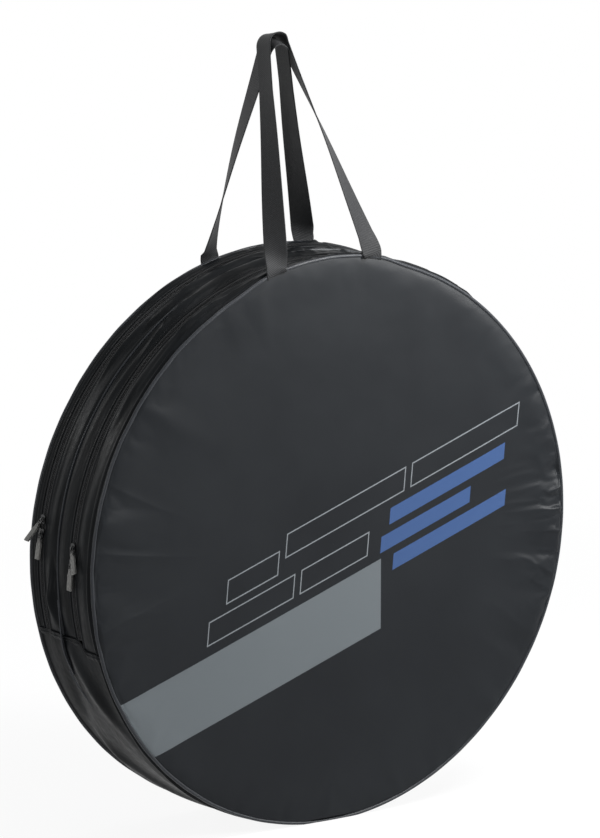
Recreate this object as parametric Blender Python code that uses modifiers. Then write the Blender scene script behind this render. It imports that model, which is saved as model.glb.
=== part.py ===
"""Round padded bag for two bicycle wheels.

The bag is a shallow drum that stands on its rim. A padded divider parts it into two wheel
compartments. Each compartment opens by a zip that runs over the top of the rim, and its cover
folds down on a line between the two zip ends. Two webbing handles meet above the drum.
Metres, +Z up, the front panel faces -Y. The origin is on the floor, under the drum's centre.
"""
import math

import bmesh
import bpy
from mathutils import Matrix, Vector

# Drum, as it stands on its rim
BAG_DIAMETER = 0.750
BAG_DEPTH = 0.146
FOOT_SAG = 0.003
SEAM_GAP = 0.0003
ARC_STEP = math.radians(4.0)
ZIP_END_ANGLE = math.radians(103.4)

# Sewn layers
GUSSET_THICKNESS = 0.0016
GUSSET_INSET = 0.0015
PANEL_THICKNESS = 0.0010
FOAM_THICKNESS = 0.0050
LINING_THICKNESS = 0.0008
PIPING_RADIUS = 0.0025
HUB_PATCH_DIAMETER = 0.120
HUB_PATCH_THICKNESS = 0.0010
DIVIDER_FOAM_THICKNESS = 0.0040
WELT_WIDTH = 0.0025
WELT_HEIGHT = 0.0015

# Zips, and where they and the divider lie across the rim, as shares of the bag's depth
FRONT_ZIP_SHARE = -0.1918
REAR_ZIP_SHARE = 0.3151
DIVIDER_SHARE = 0.0616
TAPE_WIDTH = 0.0080
TAPE_THICKNESS = 0.0008
TOOTH_WIDTH = 0.0024
TOOTH_THICKNESS = 0.0022
TOOTH_ROW_GAP = 0.0012

# Sliders
SLIDER_LENGTH = 0.0125
SLIDER_TAIL_WIDTH = 0.0086
SLIDER_SHOULDER_WIDTH = 0.0104
SLIDER_NOTCH_DEPTH = 0.0018
SLIDER_PLATE_THICKNESS = 0.0010
CHANNEL_CLEARANCE = 0.0011
LIP_HEIGHT = 0.0003
LIP_WIDTH = 0.0006
BLADE_THICKNESS = 0.0006
BLADE_LENGTH = 0.0060
BRIDGE_LENGTH = 0.0064
BRIDGE_WIDTH = 0.0020
BRIDGE_HEIGHT = 0.0032
BRIDGE_THICKNESS = 0.0009
UNION_OVERLAP = 0.0002

# Pullers and their fabric tabs
PULLER_BAR = 0.0014
PULLER_BAR_HEIGHT = 0.0012
PULLER_WINDOW_LENGTH = 0.0037
PULLER_WINDOW_WIDTH = 0.0054
PULLER_ARM_WIDTH = 0.0010
PULLER_WEB = 0.0014
PULLER_SLOT_LENGTH = 0.0018
PULLER_END_BAR = 0.0012
PULLER_THICKNESS = 0.0012
TAB_LENGTH = 0.0260
TAB_WIDTH = 0.0080
TAB_THICKNESS = 0.0018
TAB_LOOP_WIDTH = 0.0048
TAB_LOOP_CLEARANCE = 0.0003
TAB_LOOP_THICKNESS = 0.0008

# Webbing handles
WEBBING_WIDTH = 0.030
WEBBING_THICKNESS = 0.0016
HANDLE_BASE_SPACING = 0.150
HANDLE_TURN = math.radians(-2.7)
HANDLE_BASE_INSET = 0.0005
HANDLE_BASE_Y_OFFSET = 0.0006
HANDLE_APEX_X = -0.0415
HANDLE_APEX_Y = 0.0015
FRONT_HANDLE_TOP = 1.0365
FRONT_LOOP_RADIUS = 0.0165
REAR_HANDLE_DROP = 0.0115
REAR_LOOP_RADIUS = 0.0115
HANDLE_FLAT_LENGTH = 0.012
HANDLE_TWIST_LENGTH = 0.045
LEG_STEPS = 18
LOOP_STEPS = 12

# Values that follow from those above
FRONT_ZIP_Y = FRONT_ZIP_SHARE * BAG_DEPTH
REAR_ZIP_Y = REAR_ZIP_SHARE * BAG_DEPTH
DIVIDER_Y = DIVIDER_SHARE * BAG_DEPTH
BAG_RADIUS = BAG_DIAMETER / 2
AXIS_Z = BAG_RADIUS - FOOT_SAG
PIPING_FLAT = PIPING_RADIUS * math.cos(math.pi / 6)
PIPING_PATH_RADIUS = BAG_RADIUS - PIPING_RADIUS
PANEL_RADIUS = PIPING_PATH_RADIUS - PIPING_RADIUS - SEAM_GAP
GUSSET_RADIUS = BAG_RADIUS - GUSSET_INSET
GUSSET_INNER_RADIUS = GUSSET_RADIUS - GUSSET_THICKNESS
GUSSET_EDGE = BAG_DEPTH / 2 - 2 * PIPING_RADIUS - SEAM_GAP
ZIP_RADIUS = GUSSET_RADIUS - GUSSET_THICKNESS / 2
ZIP_HALF_WIDTH = TOOTH_ROW_GAP / 2 + TOOTH_WIDTH + SEAM_GAP + TAPE_WIDTH + SEAM_GAP
HINGE_Z = AXIS_Z + GUSSET_RADIUS * math.cos(ZIP_END_ANGLE)
SEAM_ANGLE = SEAM_GAP / GUSSET_RADIUS
HANDLE_BASE_RADIUS = BAG_RADIUS - HANDLE_BASE_INSET
HANDLE_BASE_Y = BAG_DEPTH / 2 + HANDLE_BASE_Y_OFFSET
PLATE_TOP = TOOTH_THICKNESS / 2 + CHANNEL_CLEARANCE + SLIDER_PLATE_THICKNESS
PULLER_BAR_RADIUS = ZIP_RADIUS + PLATE_TOP + PULLER_BAR_HEIGHT

LAYER_THICKNESSES = {"panel": PANEL_THICKNESS, "foam": FOAM_THICKNESS, "lining": LINING_THICKNESS}
SIDES = {"front": -1, "rear": 1}
ZIP_Y = {"front": FRONT_ZIP_Y, "rear": REAR_ZIP_Y}

# Each slider's place round the rim, which way its shoulders face, and how its pull hangs
SLIDERS = {
    "front_upper": {
        "angle": math.radians(-84.3), "shoulder_up": False,
        "lift": math.radians(5), "skew": math.radians(25),
    },
    "front_lower": {
        "angle": math.radians(-87.5), "shoulder_up": True,
        "lift": math.radians(2), "skew": 0.0,
    },
    "rear_upper": {
        "angle": math.radians(-80.8), "shoulder_up": False,
        "lift": math.radians(35), "skew": 0.0,
    },
    "rear_lower": {
        "angle": math.radians(-83.5), "shoulder_up": True,
        "lift": math.radians(2), "skew": 0.0,
    },
}

# How fast each strap leg turns from flat on the rim to edge along the loop
TWIST_SHARES = {
    ("front", "left"): {"full_turn_share": 0.80, "power_share": 0.45},
    ("front", "right"): {"full_turn_share": 1.00, "power_share": 0.95},
    ("rear", "left"): {"full_turn_share": 0.90, "power_share": 0.42},
    ("rear", "right"): {"full_turn_share": 0.80, "power_share": 0.35},
}


def clear_scene():
    """Remove every object that the opened file holds."""
    for found in list(bpy.data.objects):
        bpy.data.objects.remove(found, do_unlink=True)


def make_collection(name):
    """Add a collection to the scene."""
    made = bpy.data.collections.new(name)
    bpy.context.scene.collection.children.link(made)
    return made


def make_material(name, colour, roughness, metallic=0.0):
    """Add a Principled BSDF material."""
    made = bpy.data.materials.new(name)
    made.use_nodes = True
    shader = made.node_tree.nodes["Principled BSDF"]
    shader.inputs["Base Color"].default_value = (*colour, 1.0)
    shader.inputs["Roughness"].default_value = roughness
    shader.inputs["Metallic"].default_value = metallic
    return made


def add_object(name, data, material, collection):
    """Put a mesh or a curve into the scene under its own name."""
    made = bpy.data.objects.new(name, data)
    collection.objects.link(made)
    if material and not data.materials:
        data.materials.append(material)
    return made


def add_pivot(name, place, collection, rotation=None):
    """Add an empty that stands on a joint's axis."""
    made = bpy.data.objects.new(name, None)
    collection.objects.link(made)
    if rotation:
        made.rotation_euler = rotation
    made.location = place
    return made


def attach(child, parent):
    """Parent an object without moving it."""
    bpy.context.view_layer.update()
    child.parent = parent
    child.matrix_parent_inverse = parent.matrix_world.inverted()


def rim_point(angle, radius, floor=0.0):
    """Give x and z of a point on the rim, which stays above its floor where the drum stands."""
    return radius * math.sin(angle), max(AXIS_Z + radius * math.cos(angle), floor)


def spread(start, end, steps):
    """Give evenly spaced values from start to end."""
    return [start + (end - start) * step / steps for step in range(steps + 1)]


def arc_angles(start, end):
    """Give the angles of an arc, a step apart, with an even number of steps."""
    half_steps = max(1, round((end - start) / ARC_STEP / 2))
    return spread(start, end, 2 * half_steps)


def with_foot(angles, radius, floor):
    """Put corners where a round edge meets its floor, so that the foot is as wide as the sag makes it."""
    edge = math.acos((AXIS_Z - floor) / radius)
    above = [angle for angle in angles if abs(angle - math.pi) > edge]
    return sorted(above + [math.pi - edge, math.pi + edge])


def top_angles():
    """Give the angles between the two zip ends, over the top."""
    return arc_angles(-ZIP_END_ANGLE, ZIP_END_ANGLE)


def bottom_angles(radius, floor):
    """Give the angles between the two zip ends, under the drum."""
    angles = arc_angles(ZIP_END_ANGLE + SEAM_ANGLE, 2 * math.pi - ZIP_END_ANGLE - SEAM_ANGLE)
    return with_foot(angles, radius, floor)


def ribbon_mesh(name, near_edge, far_edge):
    """Make an open strip of quads between two rows of points."""
    shape = bmesh.new()
    near = [shape.verts.new(point) for point in near_edge]
    edges = [shape.edges.new(pair) for pair in zip(near, near[1:])]
    grown = bmesh.ops.extrude_edge_only(shape, edges=edges)["geom"]
    far = [item for item in grown if isinstance(item, bmesh.types.BMVert)]
    for vertex in far:
        source = min(range(len(near)), key=lambda index: (near[index].co - vertex.co).length)
        vertex.co = far_edge[source]
    shape.normal_update()
    mesh = bpy.data.meshes.new(name)
    shape.to_mesh(mesh)
    shape.free()
    return mesh


def thicken(thing, thickness, offset):
    """Turn an open sheet into a closed solid."""
    solid = thing.modifiers.new("Thickness", "SOLIDIFY")
    solid.thickness = thickness
    solid.offset = offset
    solid.use_even_offset = True
    return thing


def face_outwards(mesh):
    """Turn a strip's faces over where they look towards the drum's axis."""
    shape = bmesh.new()
    shape.from_mesh(mesh)
    bmesh.ops.recalc_face_normals(shape, faces=shape.faces[:])
    shape.faces.ensure_lookup_table()
    face = shape.faces[0]
    middle = face.calc_center_median()
    if face.normal.dot(middle - Vector((0.0, middle.y, AXIS_Z))) < 0:
        bmesh.ops.reverse_faces(shape, faces=shape.faces[:])
    shape.to_mesh(mesh)
    shape.free()


def smooth(thing):
    """Shade a round piece smooth and keep its real edges."""
    thing.data.shade_smooth()
    thing.data.set_sharp_from_angle(angle=math.radians(35))


def band(name, material, collection, y_edges, radius, thickness, angles):
    """Make a strip of cloth bent round the rim, with its outer face at the given radius."""
    floor = max(GUSSET_RADIUS - radius, 0.0)
    rows = []
    for y in sorted(y_edges):
        points = [rim_point(angle, radius, floor) for angle in angles]
        rows.append([Vector((x, y, z)) for x, z in points])
    mesh = ribbon_mesh(name, rows[0], rows[1])
    face_outwards(mesh)
    made = add_object(name, mesh, material, collection)
    thicken(made, thickness, -1.0)
    smooth(made)
    return made


def plate(name, material, collection, outline, y_middle, thickness):
    """Make a flat upright sheet from an outline in x and z."""
    curve = bpy.data.curves.new(name, "CURVE")
    curve.dimensions = "2D"
    curve.fill_mode = "BOTH"
    curve.extrude = thickness / 2
    add_spline(curve, outline)
    made = add_object(name, curve, material, collection)
    made.rotation_euler = (math.pi / 2, 0.0, 0.0)
    made.location = (0.0, y_middle, 0.0)
    return made


def add_spline(curve, outline):
    """Add a closed polygon to a flat curve."""
    spline = curve.splines.new("POLY")
    spline.points.add(len(outline) - 1)
    for point, (across, along) in zip(spline.points, outline):
        point.co = (across, along, 0.0, 1.0)
    spline.use_cyclic_u = True


def disc_outline(radius, floor):
    """Give the outline of a whole round sheet that stands on the floor."""
    angles = with_foot(arc_angles(0.0, 2 * math.pi)[:-1], radius, floor)
    return [rim_point(angle, radius, floor) for angle in angles]


def upper_outline(radius):
    """Give the outline of the part of a round sheet above the fold line."""
    edge_z = HINGE_Z + SEAM_GAP / 2
    edge = math.acos((edge_z - AXIS_Z) / radius)
    return [rim_point(angle, radius) for angle in arc_angles(-edge, edge)]


def lower_outline(radius, floor):
    """Give the outline of the part of a round sheet below the fold line."""
    edge_z = HINGE_Z - SEAM_GAP / 2
    edge = math.acos((edge_z - AXIS_Z) / radius)
    angles = with_foot(arc_angles(edge, 2 * math.pi - edge), radius, floor)
    return [rim_point(angle, radius, floor) for angle in angles]


def piping(name, material, collection, side, angles):
    """Make a length of covered cord along a panel's edge, six-sided, with a flat side outwards."""
    curve = bpy.data.curves.new(name, "CURVE")
    curve.dimensions = "3D"
    curve.bevel_depth = PIPING_RADIUS
    curve.bevel_resolution = 1
    curve.use_fill_caps = True
    spline = curve.splines.new("POLY")
    spline.points.add(len(angles) - 1)
    y = side * (BAG_DEPTH / 2 - PIPING_RADIUS)
    for point, angle in zip(spline.points, angles):
        x, z = rim_point(angle, PIPING_PATH_RADIUS, PIPING_FLAT)
        point.co = (x, y, z, 1.0)
    return add_object(name, curve, material, collection)


def hub_patch(name, material, collection, y_middle):
    """Make a round patch that takes the rub of a wheel's hub."""
    shape = bmesh.new()
    sides = round(2 * math.pi / ARC_STEP / 2)
    bmesh.ops.create_cone(
        shape, cap_ends=True, segments=sides, radius1=HUB_PATCH_DIAMETER / 2,
        radius2=HUB_PATCH_DIAMETER / 2, depth=HUB_PATCH_THICKNESS,
    )
    mesh = bpy.data.meshes.new(name)
    shape.to_mesh(mesh)
    shape.free()
    made = add_object(name, mesh, material, collection)
    made.rotation_euler = (math.pi / 2, 0.0, 0.0)
    made.location = (0.0, y_middle, AXIS_Z)
    smooth(made)
    return made


def layer_middles(side):
    """Give the middle of each layer of a padded panel, from the outside in."""
    panel = BAG_DEPTH / 2 - PIPING_RADIUS / 4 - PANEL_THICKNESS / 2
    foam = panel - PANEL_THICKNESS / 2 - SEAM_GAP - FOAM_THICKNESS / 2
    lining = foam - FOAM_THICKNESS / 2 - SEAM_GAP - LINING_THICKNESS / 2
    patch = lining - LINING_THICKNESS / 2 - SEAM_GAP - HUB_PATCH_THICKNESS / 2
    return {"panel": side * panel, "foam": side * foam, "lining": side * lining, "patch": side * patch}


def build_lower_panel(side_name, looks, collection):
    """Make the layers of a panel that stay with the bag when its cover folds down."""
    side = SIDES[side_name]
    middles = layer_middles(side)
    outline = lower_outline(PANEL_RADIUS, BAG_RADIUS - PANEL_RADIUS)
    for layer, thickness in LAYER_THICKNESSES.items():
        name = f"{side_name}_{layer}_lower"
        plate(name, looks[layer], collection, outline, middles[layer], thickness)
    angles = bottom_angles(PIPING_PATH_RADIUS, PIPING_FLAT)
    piping(f"{side_name}_piping_lower", looks["piping"], collection, side, angles)


def build_cover(side_name, looks, collection):
    """Make the zipped cover of one compartment, which folds down on the line between the zip ends."""
    side = SIDES[side_name]
    middles = layer_middles(side)
    outline = upper_outline(PANEL_RADIUS)
    made = []
    for layer, thickness in LAYER_THICKNESSES.items():
        name = f"{side_name}_{layer}_upper"
        made.append(plate(name, looks[layer], collection, outline, middles[layer], thickness))
    made.append(piping(f"{side_name}_piping_upper", looks["piping"], collection, side, top_angles()))
    edges = (side * GUSSET_EDGE, ZIP_Y[side_name] + side * ZIP_HALF_WIDTH)
    made.append(band(
        f"{side_name}_cover_gusset", looks["gusset"], collection, edges,
        GUSSET_RADIUS, GUSSET_THICKNESS, top_angles(),
    ))
    made.extend(build_zip_half(side_name, "outer", side, looks, collection))
    made.append(hub_patch(f"{side_name}_hub_patch", looks["patch"], collection, middles["patch"]))
    hinge = add_pivot(f"{side_name}_cover_hinge", (0.0, side * BAG_DEPTH / 2, HINGE_Z), collection)
    for piece in made:
        attach(piece, hinge)
    return hinge


def build_zip_half(side_name, half_name, away, looks, collection):
    """Make one zip tape and its row of teeth, on the given side of the zip's middle line."""
    middle = ZIP_Y[side_name]
    tooth_near = TOOTH_ROW_GAP / 2
    tooth_far = tooth_near + TOOTH_WIDTH
    tape_near = tooth_far + SEAM_GAP
    tape_far = tape_near + TAPE_WIDTH
    teeth_edges = (middle + away * tooth_near, middle + away * tooth_far)
    tape_edges = (middle + away * tape_near, middle + away * tape_far)
    teeth_radius = ZIP_RADIUS + TOOTH_THICKNESS / 2
    tape_radius = ZIP_RADIUS + TAPE_THICKNESS / 2
    return [
        band(f"{side_name}_{half_name}_teeth", looks["teeth"], collection, teeth_edges,
             teeth_radius, TOOTH_THICKNESS, top_angles()),
        band(f"{side_name}_{half_name}_tape", looks["tape"], collection, tape_edges,
             tape_radius, TAPE_THICKNESS, top_angles()),
    ]


def build_middle(looks, collection):
    """Make the strips of rim between the two zips, the welt over their seam, and the lower rim."""
    welt_half = WELT_WIDTH / 2
    front_edges = (FRONT_ZIP_Y + ZIP_HALF_WIDTH, DIVIDER_Y - welt_half - SEAM_GAP)
    rear_edges = (DIVIDER_Y + welt_half + SEAM_GAP, REAR_ZIP_Y - ZIP_HALF_WIDTH)
    for name, edges in (("mid_gusset_front", front_edges), ("mid_gusset_rear", rear_edges)):
        band(name, looks["gusset"], collection, edges, GUSSET_RADIUS, GUSSET_THICKNESS, top_angles())
    band("centre_welt", looks["piping"], collection, (DIVIDER_Y - welt_half, DIVIDER_Y + welt_half),
         GUSSET_RADIUS + WELT_HEIGHT, GUSSET_THICKNESS + WELT_HEIGHT, top_angles())
    band("lower_gusset", looks["gusset"], collection, (-GUSSET_EDGE, GUSSET_EDGE),
         GUSSET_RADIUS, GUSSET_THICKNESS, bottom_angles(GUSSET_RADIUS, 0.0))
    for side_name, side in SIDES.items():
        build_zip_half(side_name, "inner", -side, looks, collection)


def build_divider(looks, collection):
    """Make the padded wall between the two wheels."""
    radius = GUSSET_INNER_RADIUS - SEAM_GAP
    outline = disc_outline(radius, GUSSET_THICKNESS + SEAM_GAP)
    plate("divider_foam", looks["foam"], collection, outline, DIVIDER_Y, DIVIDER_FOAM_THICKNESS)
    for side_name, side in SIDES.items():
        cover = DIVIDER_FOAM_THICKNESS / 2 + SEAM_GAP + LINING_THICKNESS / 2
        patch = cover + LINING_THICKNESS / 2 + SEAM_GAP + HUB_PATCH_THICKNESS / 2
        plate(f"divider_cover_{side_name}", looks["lining"], collection, outline,
              DIVIDER_Y + side * cover, LINING_THICKNESS)
        hub_patch(f"divider_hub_patch_{side_name}", looks["patch"], collection, DIVIDER_Y + side * patch)


def prism(outline, low, high):
    """Make a closed mesh from an outline in x and y, between two heights."""
    shape = bmesh.new()
    corners = [shape.verts.new((x, y, low)) for x, y in outline]
    base = shape.faces.new(corners)
    grown = bmesh.ops.extrude_face_region(shape, geom=[base])["geom"]
    top = [item for item in grown if isinstance(item, bmesh.types.BMVert)]
    bmesh.ops.translate(shape, verts=top, vec=(0.0, 0.0, high - low))
    bmesh.ops.recalc_face_normals(shape, faces=shape.faces[:])
    mesh = bpy.data.meshes.new("prism")
    shape.to_mesh(mesh)
    shape.free()
    return mesh


def block(length_ends, width_ends, height_ends):
    """Make a closed box mesh between pairs of ends."""
    near, far = length_ends
    left, right = width_ends
    outline = [(near, left), (far, left), (far, right), (near, right)]
    return prism(outline, height_ends[0], height_ends[1])


def joined_mesh(name, meshes, cutters):
    """Fuse closed meshes into one with Boolean unions."""
    base = add_object(name, meshes[0], None, cutters)
    for index, mesh in enumerate(meshes[1:]):
        other = add_object(f"{name}_piece_{index}", mesh, None, cutters)
        other.hide_render = True
        other.display_type = "WIRE"
        union = base.modifiers.new("Union", "BOOLEAN")
        union.operation = "UNION"
        union.object = other
    bpy.context.view_layer.update()
    evaluated = base.evaluated_get(bpy.context.evaluated_depsgraph_get())
    fused = bpy.data.meshes.new_from_object(evaluated)
    fused.name = name
    for found in [thing for thing in cutters.objects if thing.name.startswith(name)]:
        bpy.data.objects.remove(found, do_unlink=True)
    return fused


def slider_plate_outline():
    """Give a slider plate's outline: two round shoulders with a notch, drawn in to a narrow tail."""
    half = SLIDER_LENGTH / 2
    shoulder = SLIDER_SHOULDER_WIDTH / 2
    tail = SLIDER_TAIL_WIDTH / 2
    bevel = shoulder / 3
    upper = [
        (half - SLIDER_NOTCH_DEPTH, 0.0),
        (half - bevel / 4, shoulder / 3),
        (half, shoulder / 2),
        (half - bevel / 2, shoulder - bevel / 4),
        (half - bevel, shoulder),
        (half / 3, shoulder),
        (-half / 4, tail),
        (bevel - half, tail),
        (-half, tail - bevel),
    ]
    lower = [(along, -across) for along, across in reversed(upper[1:])]
    return upper + lower


def bridge_outline():
    """Give the side outline of the arch that holds the puller: an outer and an inner half round."""
    steps = 6
    outer = []
    inner = []
    for turn in spread(math.pi, 0.0, steps):
        outer.append((BRIDGE_LENGTH / 2 * math.cos(turn), BRIDGE_HEIGHT * math.sin(turn)))
    inner_half = BRIDGE_LENGTH / 2 - BRIDGE_THICKNESS
    inner_height = BRIDGE_HEIGHT - BRIDGE_THICKNESS
    for turn in spread(0.0, math.pi, steps):
        inner.append((inner_half * math.cos(turn), inner_height * math.sin(turn)))
    foot = UNION_OVERLAP
    outer_feet = [(-BRIDGE_LENGTH / 2, -foot)] + outer + [(BRIDGE_LENGTH / 2, -foot)]
    return outer_feet + [(inner_half, -foot)] + inner + [(-inner_half, -foot)]


def slider_mesh(cutters):
    """Make a zip slider: two plates on a blade, lips along their edges, and an arch for the puller."""
    channel = TOOTH_THICKNESS / 2 + CHANNEL_CLEARANCE
    outline = slider_plate_outline()
    pieces = [
        prism(outline, ZIP_RADIUS + channel, ZIP_RADIUS + PLATE_TOP),
        prism(outline, ZIP_RADIUS - PLATE_TOP, ZIP_RADIUS - channel),
    ]
    blade_end = SLIDER_LENGTH / 2 - SLIDER_NOTCH_DEPTH - UNION_OVERLAP
    pieces.append(block(
        (blade_end - BLADE_LENGTH, blade_end), (-BLADE_THICKNESS / 2, BLADE_THICKNESS / 2),
        (ZIP_RADIUS - channel - UNION_OVERLAP, ZIP_RADIUS + channel + UNION_OVERLAP),
    ))
    edge = SLIDER_TAIL_WIDTH / 2
    lip_length = SLIDER_LENGTH - SLIDER_SHOULDER_WIDTH / 3
    for across in (-1, 1):
        for facing in (-1, 1):
            sides = sorted((across * (edge - LIP_WIDTH), across * (edge - UNION_OVERLAP)))
            heights = sorted((facing * (channel - LIP_HEIGHT), facing * (channel + UNION_OVERLAP)))
            pieces.append(block(
                (-lip_length / 2, lip_length / 2), sides,
                (ZIP_RADIUS + heights[0], ZIP_RADIUS + heights[1]),
            ))
    arch = prism(bridge_outline(), -BRIDGE_WIDTH / 2, BRIDGE_WIDTH / 2)
    arch.transform(Matrix.Rotation(math.pi / 2, 4, "X"))
    arch.transform(Matrix.Translation((0.0, 0.0, ZIP_RADIUS + PLATE_TOP)))
    pieces.append(arch)
    return joined_mesh("zip_slider", pieces, cutters)


def rounded_rectangle(near, far, width, corner):
    """Give an outline in x and y with its four corners cut off."""
    half = width / 2
    return [
        (near + corner, -half), (far - corner, -half), (far, corner - half), (far, half - corner),
        (far - corner, half), (near + corner, half), (near, half - corner), (near, corner - half),
    ]


def puller_length():
    """Give the distance from the puller's bar to its far edge."""
    return PULLER_BAR / 2 + PULLER_WINDOW_LENGTH + PULLER_WEB + PULLER_SLOT_LENGTH + PULLER_END_BAR


def puller_curve():
    """Make the puller: a flat frame with a window for the arch and a slot for the tab."""
    curve = bpy.data.curves.new("zip_puller", "CURVE")
    curve.dimensions = "2D"
    curve.fill_mode = "BOTH"
    curve.extrude = PULLER_THICKNESS / 2
    width = PULLER_WINDOW_WIDTH + 2 * PULLER_ARM_WIDTH
    add_spline(curve, rounded_rectangle(-PULLER_BAR / 2, puller_length(), width, PULLER_ARM_WIDTH))
    window_far = PULLER_BAR / 2 + PULLER_WINDOW_LENGTH
    corner = PULLER_ARM_WIDTH / 2
    add_spline(curve, rounded_rectangle(PULLER_BAR / 2, window_far, PULLER_WINDOW_WIDTH, corner))
    slot_near = window_far + PULLER_WEB
    slot_far = slot_near + PULLER_SLOT_LENGTH
    add_spline(curve, rounded_rectangle(slot_near, slot_far, PULLER_WINDOW_WIDTH, corner))
    return curve


def circle_outline(middle, radius, steps):
    """Give the outline of a circle whose middle lies on the x axis."""
    turns = spread(0.0, 2 * math.pi, steps)[:-1]
    return [(middle + radius * math.cos(turn), radius * math.sin(turn)) for turn in turns]


def tab_mesh(cutters):
    """Make the ribbon tab: a flat grip with a loop sewn round the puller's end bar."""
    bar_middle = puller_length() - PULLER_END_BAR / 2
    hole = math.hypot(PULLER_END_BAR / 2, PULLER_THICKNESS / 2) + TAB_LOOP_CLEARANCE
    outer = hole + TAB_LOOP_THICKNESS
    loop = prism(circle_outline(bar_middle, outer, 16), -TAB_LOOP_WIDTH / 2, TAB_LOOP_WIDTH / 2)
    loop.transform(Matrix.Rotation(math.pi / 2, 4, "X"))
    bore = prism(circle_outline(bar_middle, hole, 12), -TAB_WIDTH / 2, TAB_WIDTH / 2)
    bore.transform(Matrix.Rotation(math.pi / 2, 4, "X"))
    ring = add_object("tab_ring", loop, None, cutters)
    cutter = add_object("tab_bore", bore, None, cutters)
    cut = ring.modifiers.new("Bore", "BOOLEAN")
    cut.operation = "DIFFERENCE"
    cut.object = cutter
    bpy.context.view_layer.update()
    evaluated = ring.evaluated_get(bpy.context.evaluated_depsgraph_get())
    ring_mesh = bpy.data.meshes.new_from_object(evaluated)
    for found in (ring, cutter):
        bpy.data.objects.remove(found, do_unlink=True)
    neck_near = bar_middle + hole + TAB_LOOP_THICKNESS / 2
    grip_near = puller_length() + outer
    neck = block((neck_near, grip_near + TAB_THICKNESS), (-TAB_LOOP_WIDTH / 2, TAB_LOOP_WIDTH / 2),
                 (-TAB_THICKNESS / 2, TAB_THICKNESS / 2))
    grip_far = puller_length() + TAB_LENGTH
    corner = TAB_WIDTH / 6
    grip = prism(rounded_rectangle(grip_near, grip_far, TAB_WIDTH, corner),
                 -TAB_THICKNESS / 2 - UNION_OVERLAP, TAB_THICKNESS / 2 + UNION_OVERLAP)
    return joined_mesh("zip_tab", [ring_mesh, neck, grip], cutters)


def build_sliders(looks, collection, cutters):
    """Put two sliders on each zip, with their pullers and tabs as they hang."""
    slider_shape = slider_mesh(cutters)
    slider_shape.materials.append(looks["slider"])
    puller_shape = puller_curve()
    puller_shape.materials.append(looks["slider"])
    tab_shape = tab_mesh(cutters)
    tab_shape.materials.append(looks["tab"])
    for name, place in SLIDERS.items():
        y = ZIP_Y[name.split("_")[0]]
        turn = Matrix.Rotation(place["angle"], 4, "Y")
        flip = Matrix.Rotation(0.0 if place["shoulder_up"] else math.pi, 4, "Z")
        slider = add_object(f"{name}_slider", slider_shape, None, collection)
        slider.matrix_world = Matrix.Translation((0.0, y, AXIS_Z)) @ turn @ flip
        smooth(slider)
        aside = Matrix.Rotation(math.pi + place["skew"], 4, "Z")
        swing = aside @ Matrix.Rotation(-place["lift"], 4, "Y")
        outwards = Matrix.Translation((0.0, 0.0, PULLER_BAR_RADIUS))
        middle = Matrix.Translation((0.0, y, AXIS_Z)) @ turn @ outwards
        puller = add_object(f"{name}_puller", puller_shape, None, collection)
        puller.matrix_world = middle @ swing
        tab = add_object(f"{name}_tab", tab_shape, None, collection)
        tab.matrix_world = middle @ swing
        attach(tab, puller)
        attach(puller, slider)


def handle_base(side, leg):
    """Give a strap leg's angle round the rim and the middle of its sewn end."""
    half_angle = math.asin(HANDLE_BASE_SPACING / 2 / BAG_RADIUS)
    angle = HANDLE_TURN + leg * half_angle
    x, z = rim_point(angle, HANDLE_BASE_RADIUS)
    return angle, Vector((x, side * HANDLE_BASE_Y, z))


def leg_start_on_loop(base, middle, radius, leg):
    """Give where a straight leg touches the loop's circle, as an angle from the loop's top."""
    reach = Vector((base.x - middle.x, base.z - middle.z))
    lean = math.atan2(leg * reach.x, -reach.y)
    touch = math.acos(radius / reach.length)
    return math.pi - lean - touch


def handle_rows(side_name):
    """Give the two edge rows of a strap, from its left sewn end over the loop to its right one."""
    side = SIDES[side_name]
    radius = FRONT_LOOP_RADIUS if side_name == "front" else REAR_LOOP_RADIUS
    top = FRONT_HANDLE_TOP if side_name == "front" else FRONT_HANDLE_TOP - REAR_HANDLE_DROP
    middle = Vector((HANDLE_APEX_X, side * HANDLE_APEX_Y, top - radius))
    rows = []
    for leg, leg_name in ((-1, "left"), (1, "right")):
        angle, base = handle_base(side, leg)
        touch = leg_start_on_loop(base, middle, radius, leg)
        loop_point = middle + Vector((leg * radius * math.sin(touch), 0.0, radius * math.cos(touch)))
        leg_rows = strap_leg(base, loop_point, angle, side, leg, TWIST_SHARES[(side_name, leg_name)])
        loop_rows = []
        for turn in spread(touch, 0.0, LOOP_STEPS // 2)[1:]:
            point = middle + Vector((leg * radius * math.sin(turn), 0.0, radius * math.cos(turn)))
            across = Vector((0.0, side * WEBBING_WIDTH / 2, 0.0))
            loop_rows.append((point - across * leg, point + across * leg))
        rows.append(leg_rows + loop_rows)
    left, right = rows
    right = [(second, first) for first, second in reversed(right[:-1])]
    return left + right


def strap_leg(base, loop_point, angle, side, leg, shares):
    """Give the edge points of one leg, flat along the rim at its base and turning towards the loop."""
    path = loop_point - base
    length = path.length
    along = path.normalized()
    half = WEBBING_WIDTH / 2
    rim = Vector((math.cos(angle), 0.0, -math.sin(angle)))
    square = (rim - along * rim.dot(along)).normalized()
    reach = half / rim.dot(square)
    rows = [(base - rim * reach, base + rim * reach)]
    for place in spread(HANDLE_FLAT_LENGTH, length, LEG_STEPS):
        share = min(place / length / shares["full_turn_share"], 1.0)
        ramp = min((place - HANDLE_FLAT_LENGTH) / HANDLE_TWIST_LENGTH, 1.0)
        turn = math.pi / 2 * share ** shares["power_share"] * ramp
        across = Vector((math.cos(turn), side * -leg * math.sin(turn), 0.0))
        across = (across - along * across.dot(along)).normalized()
        point = base + along * place
        rows.append((point - across * half, point + across * half))
    return rows


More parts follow.
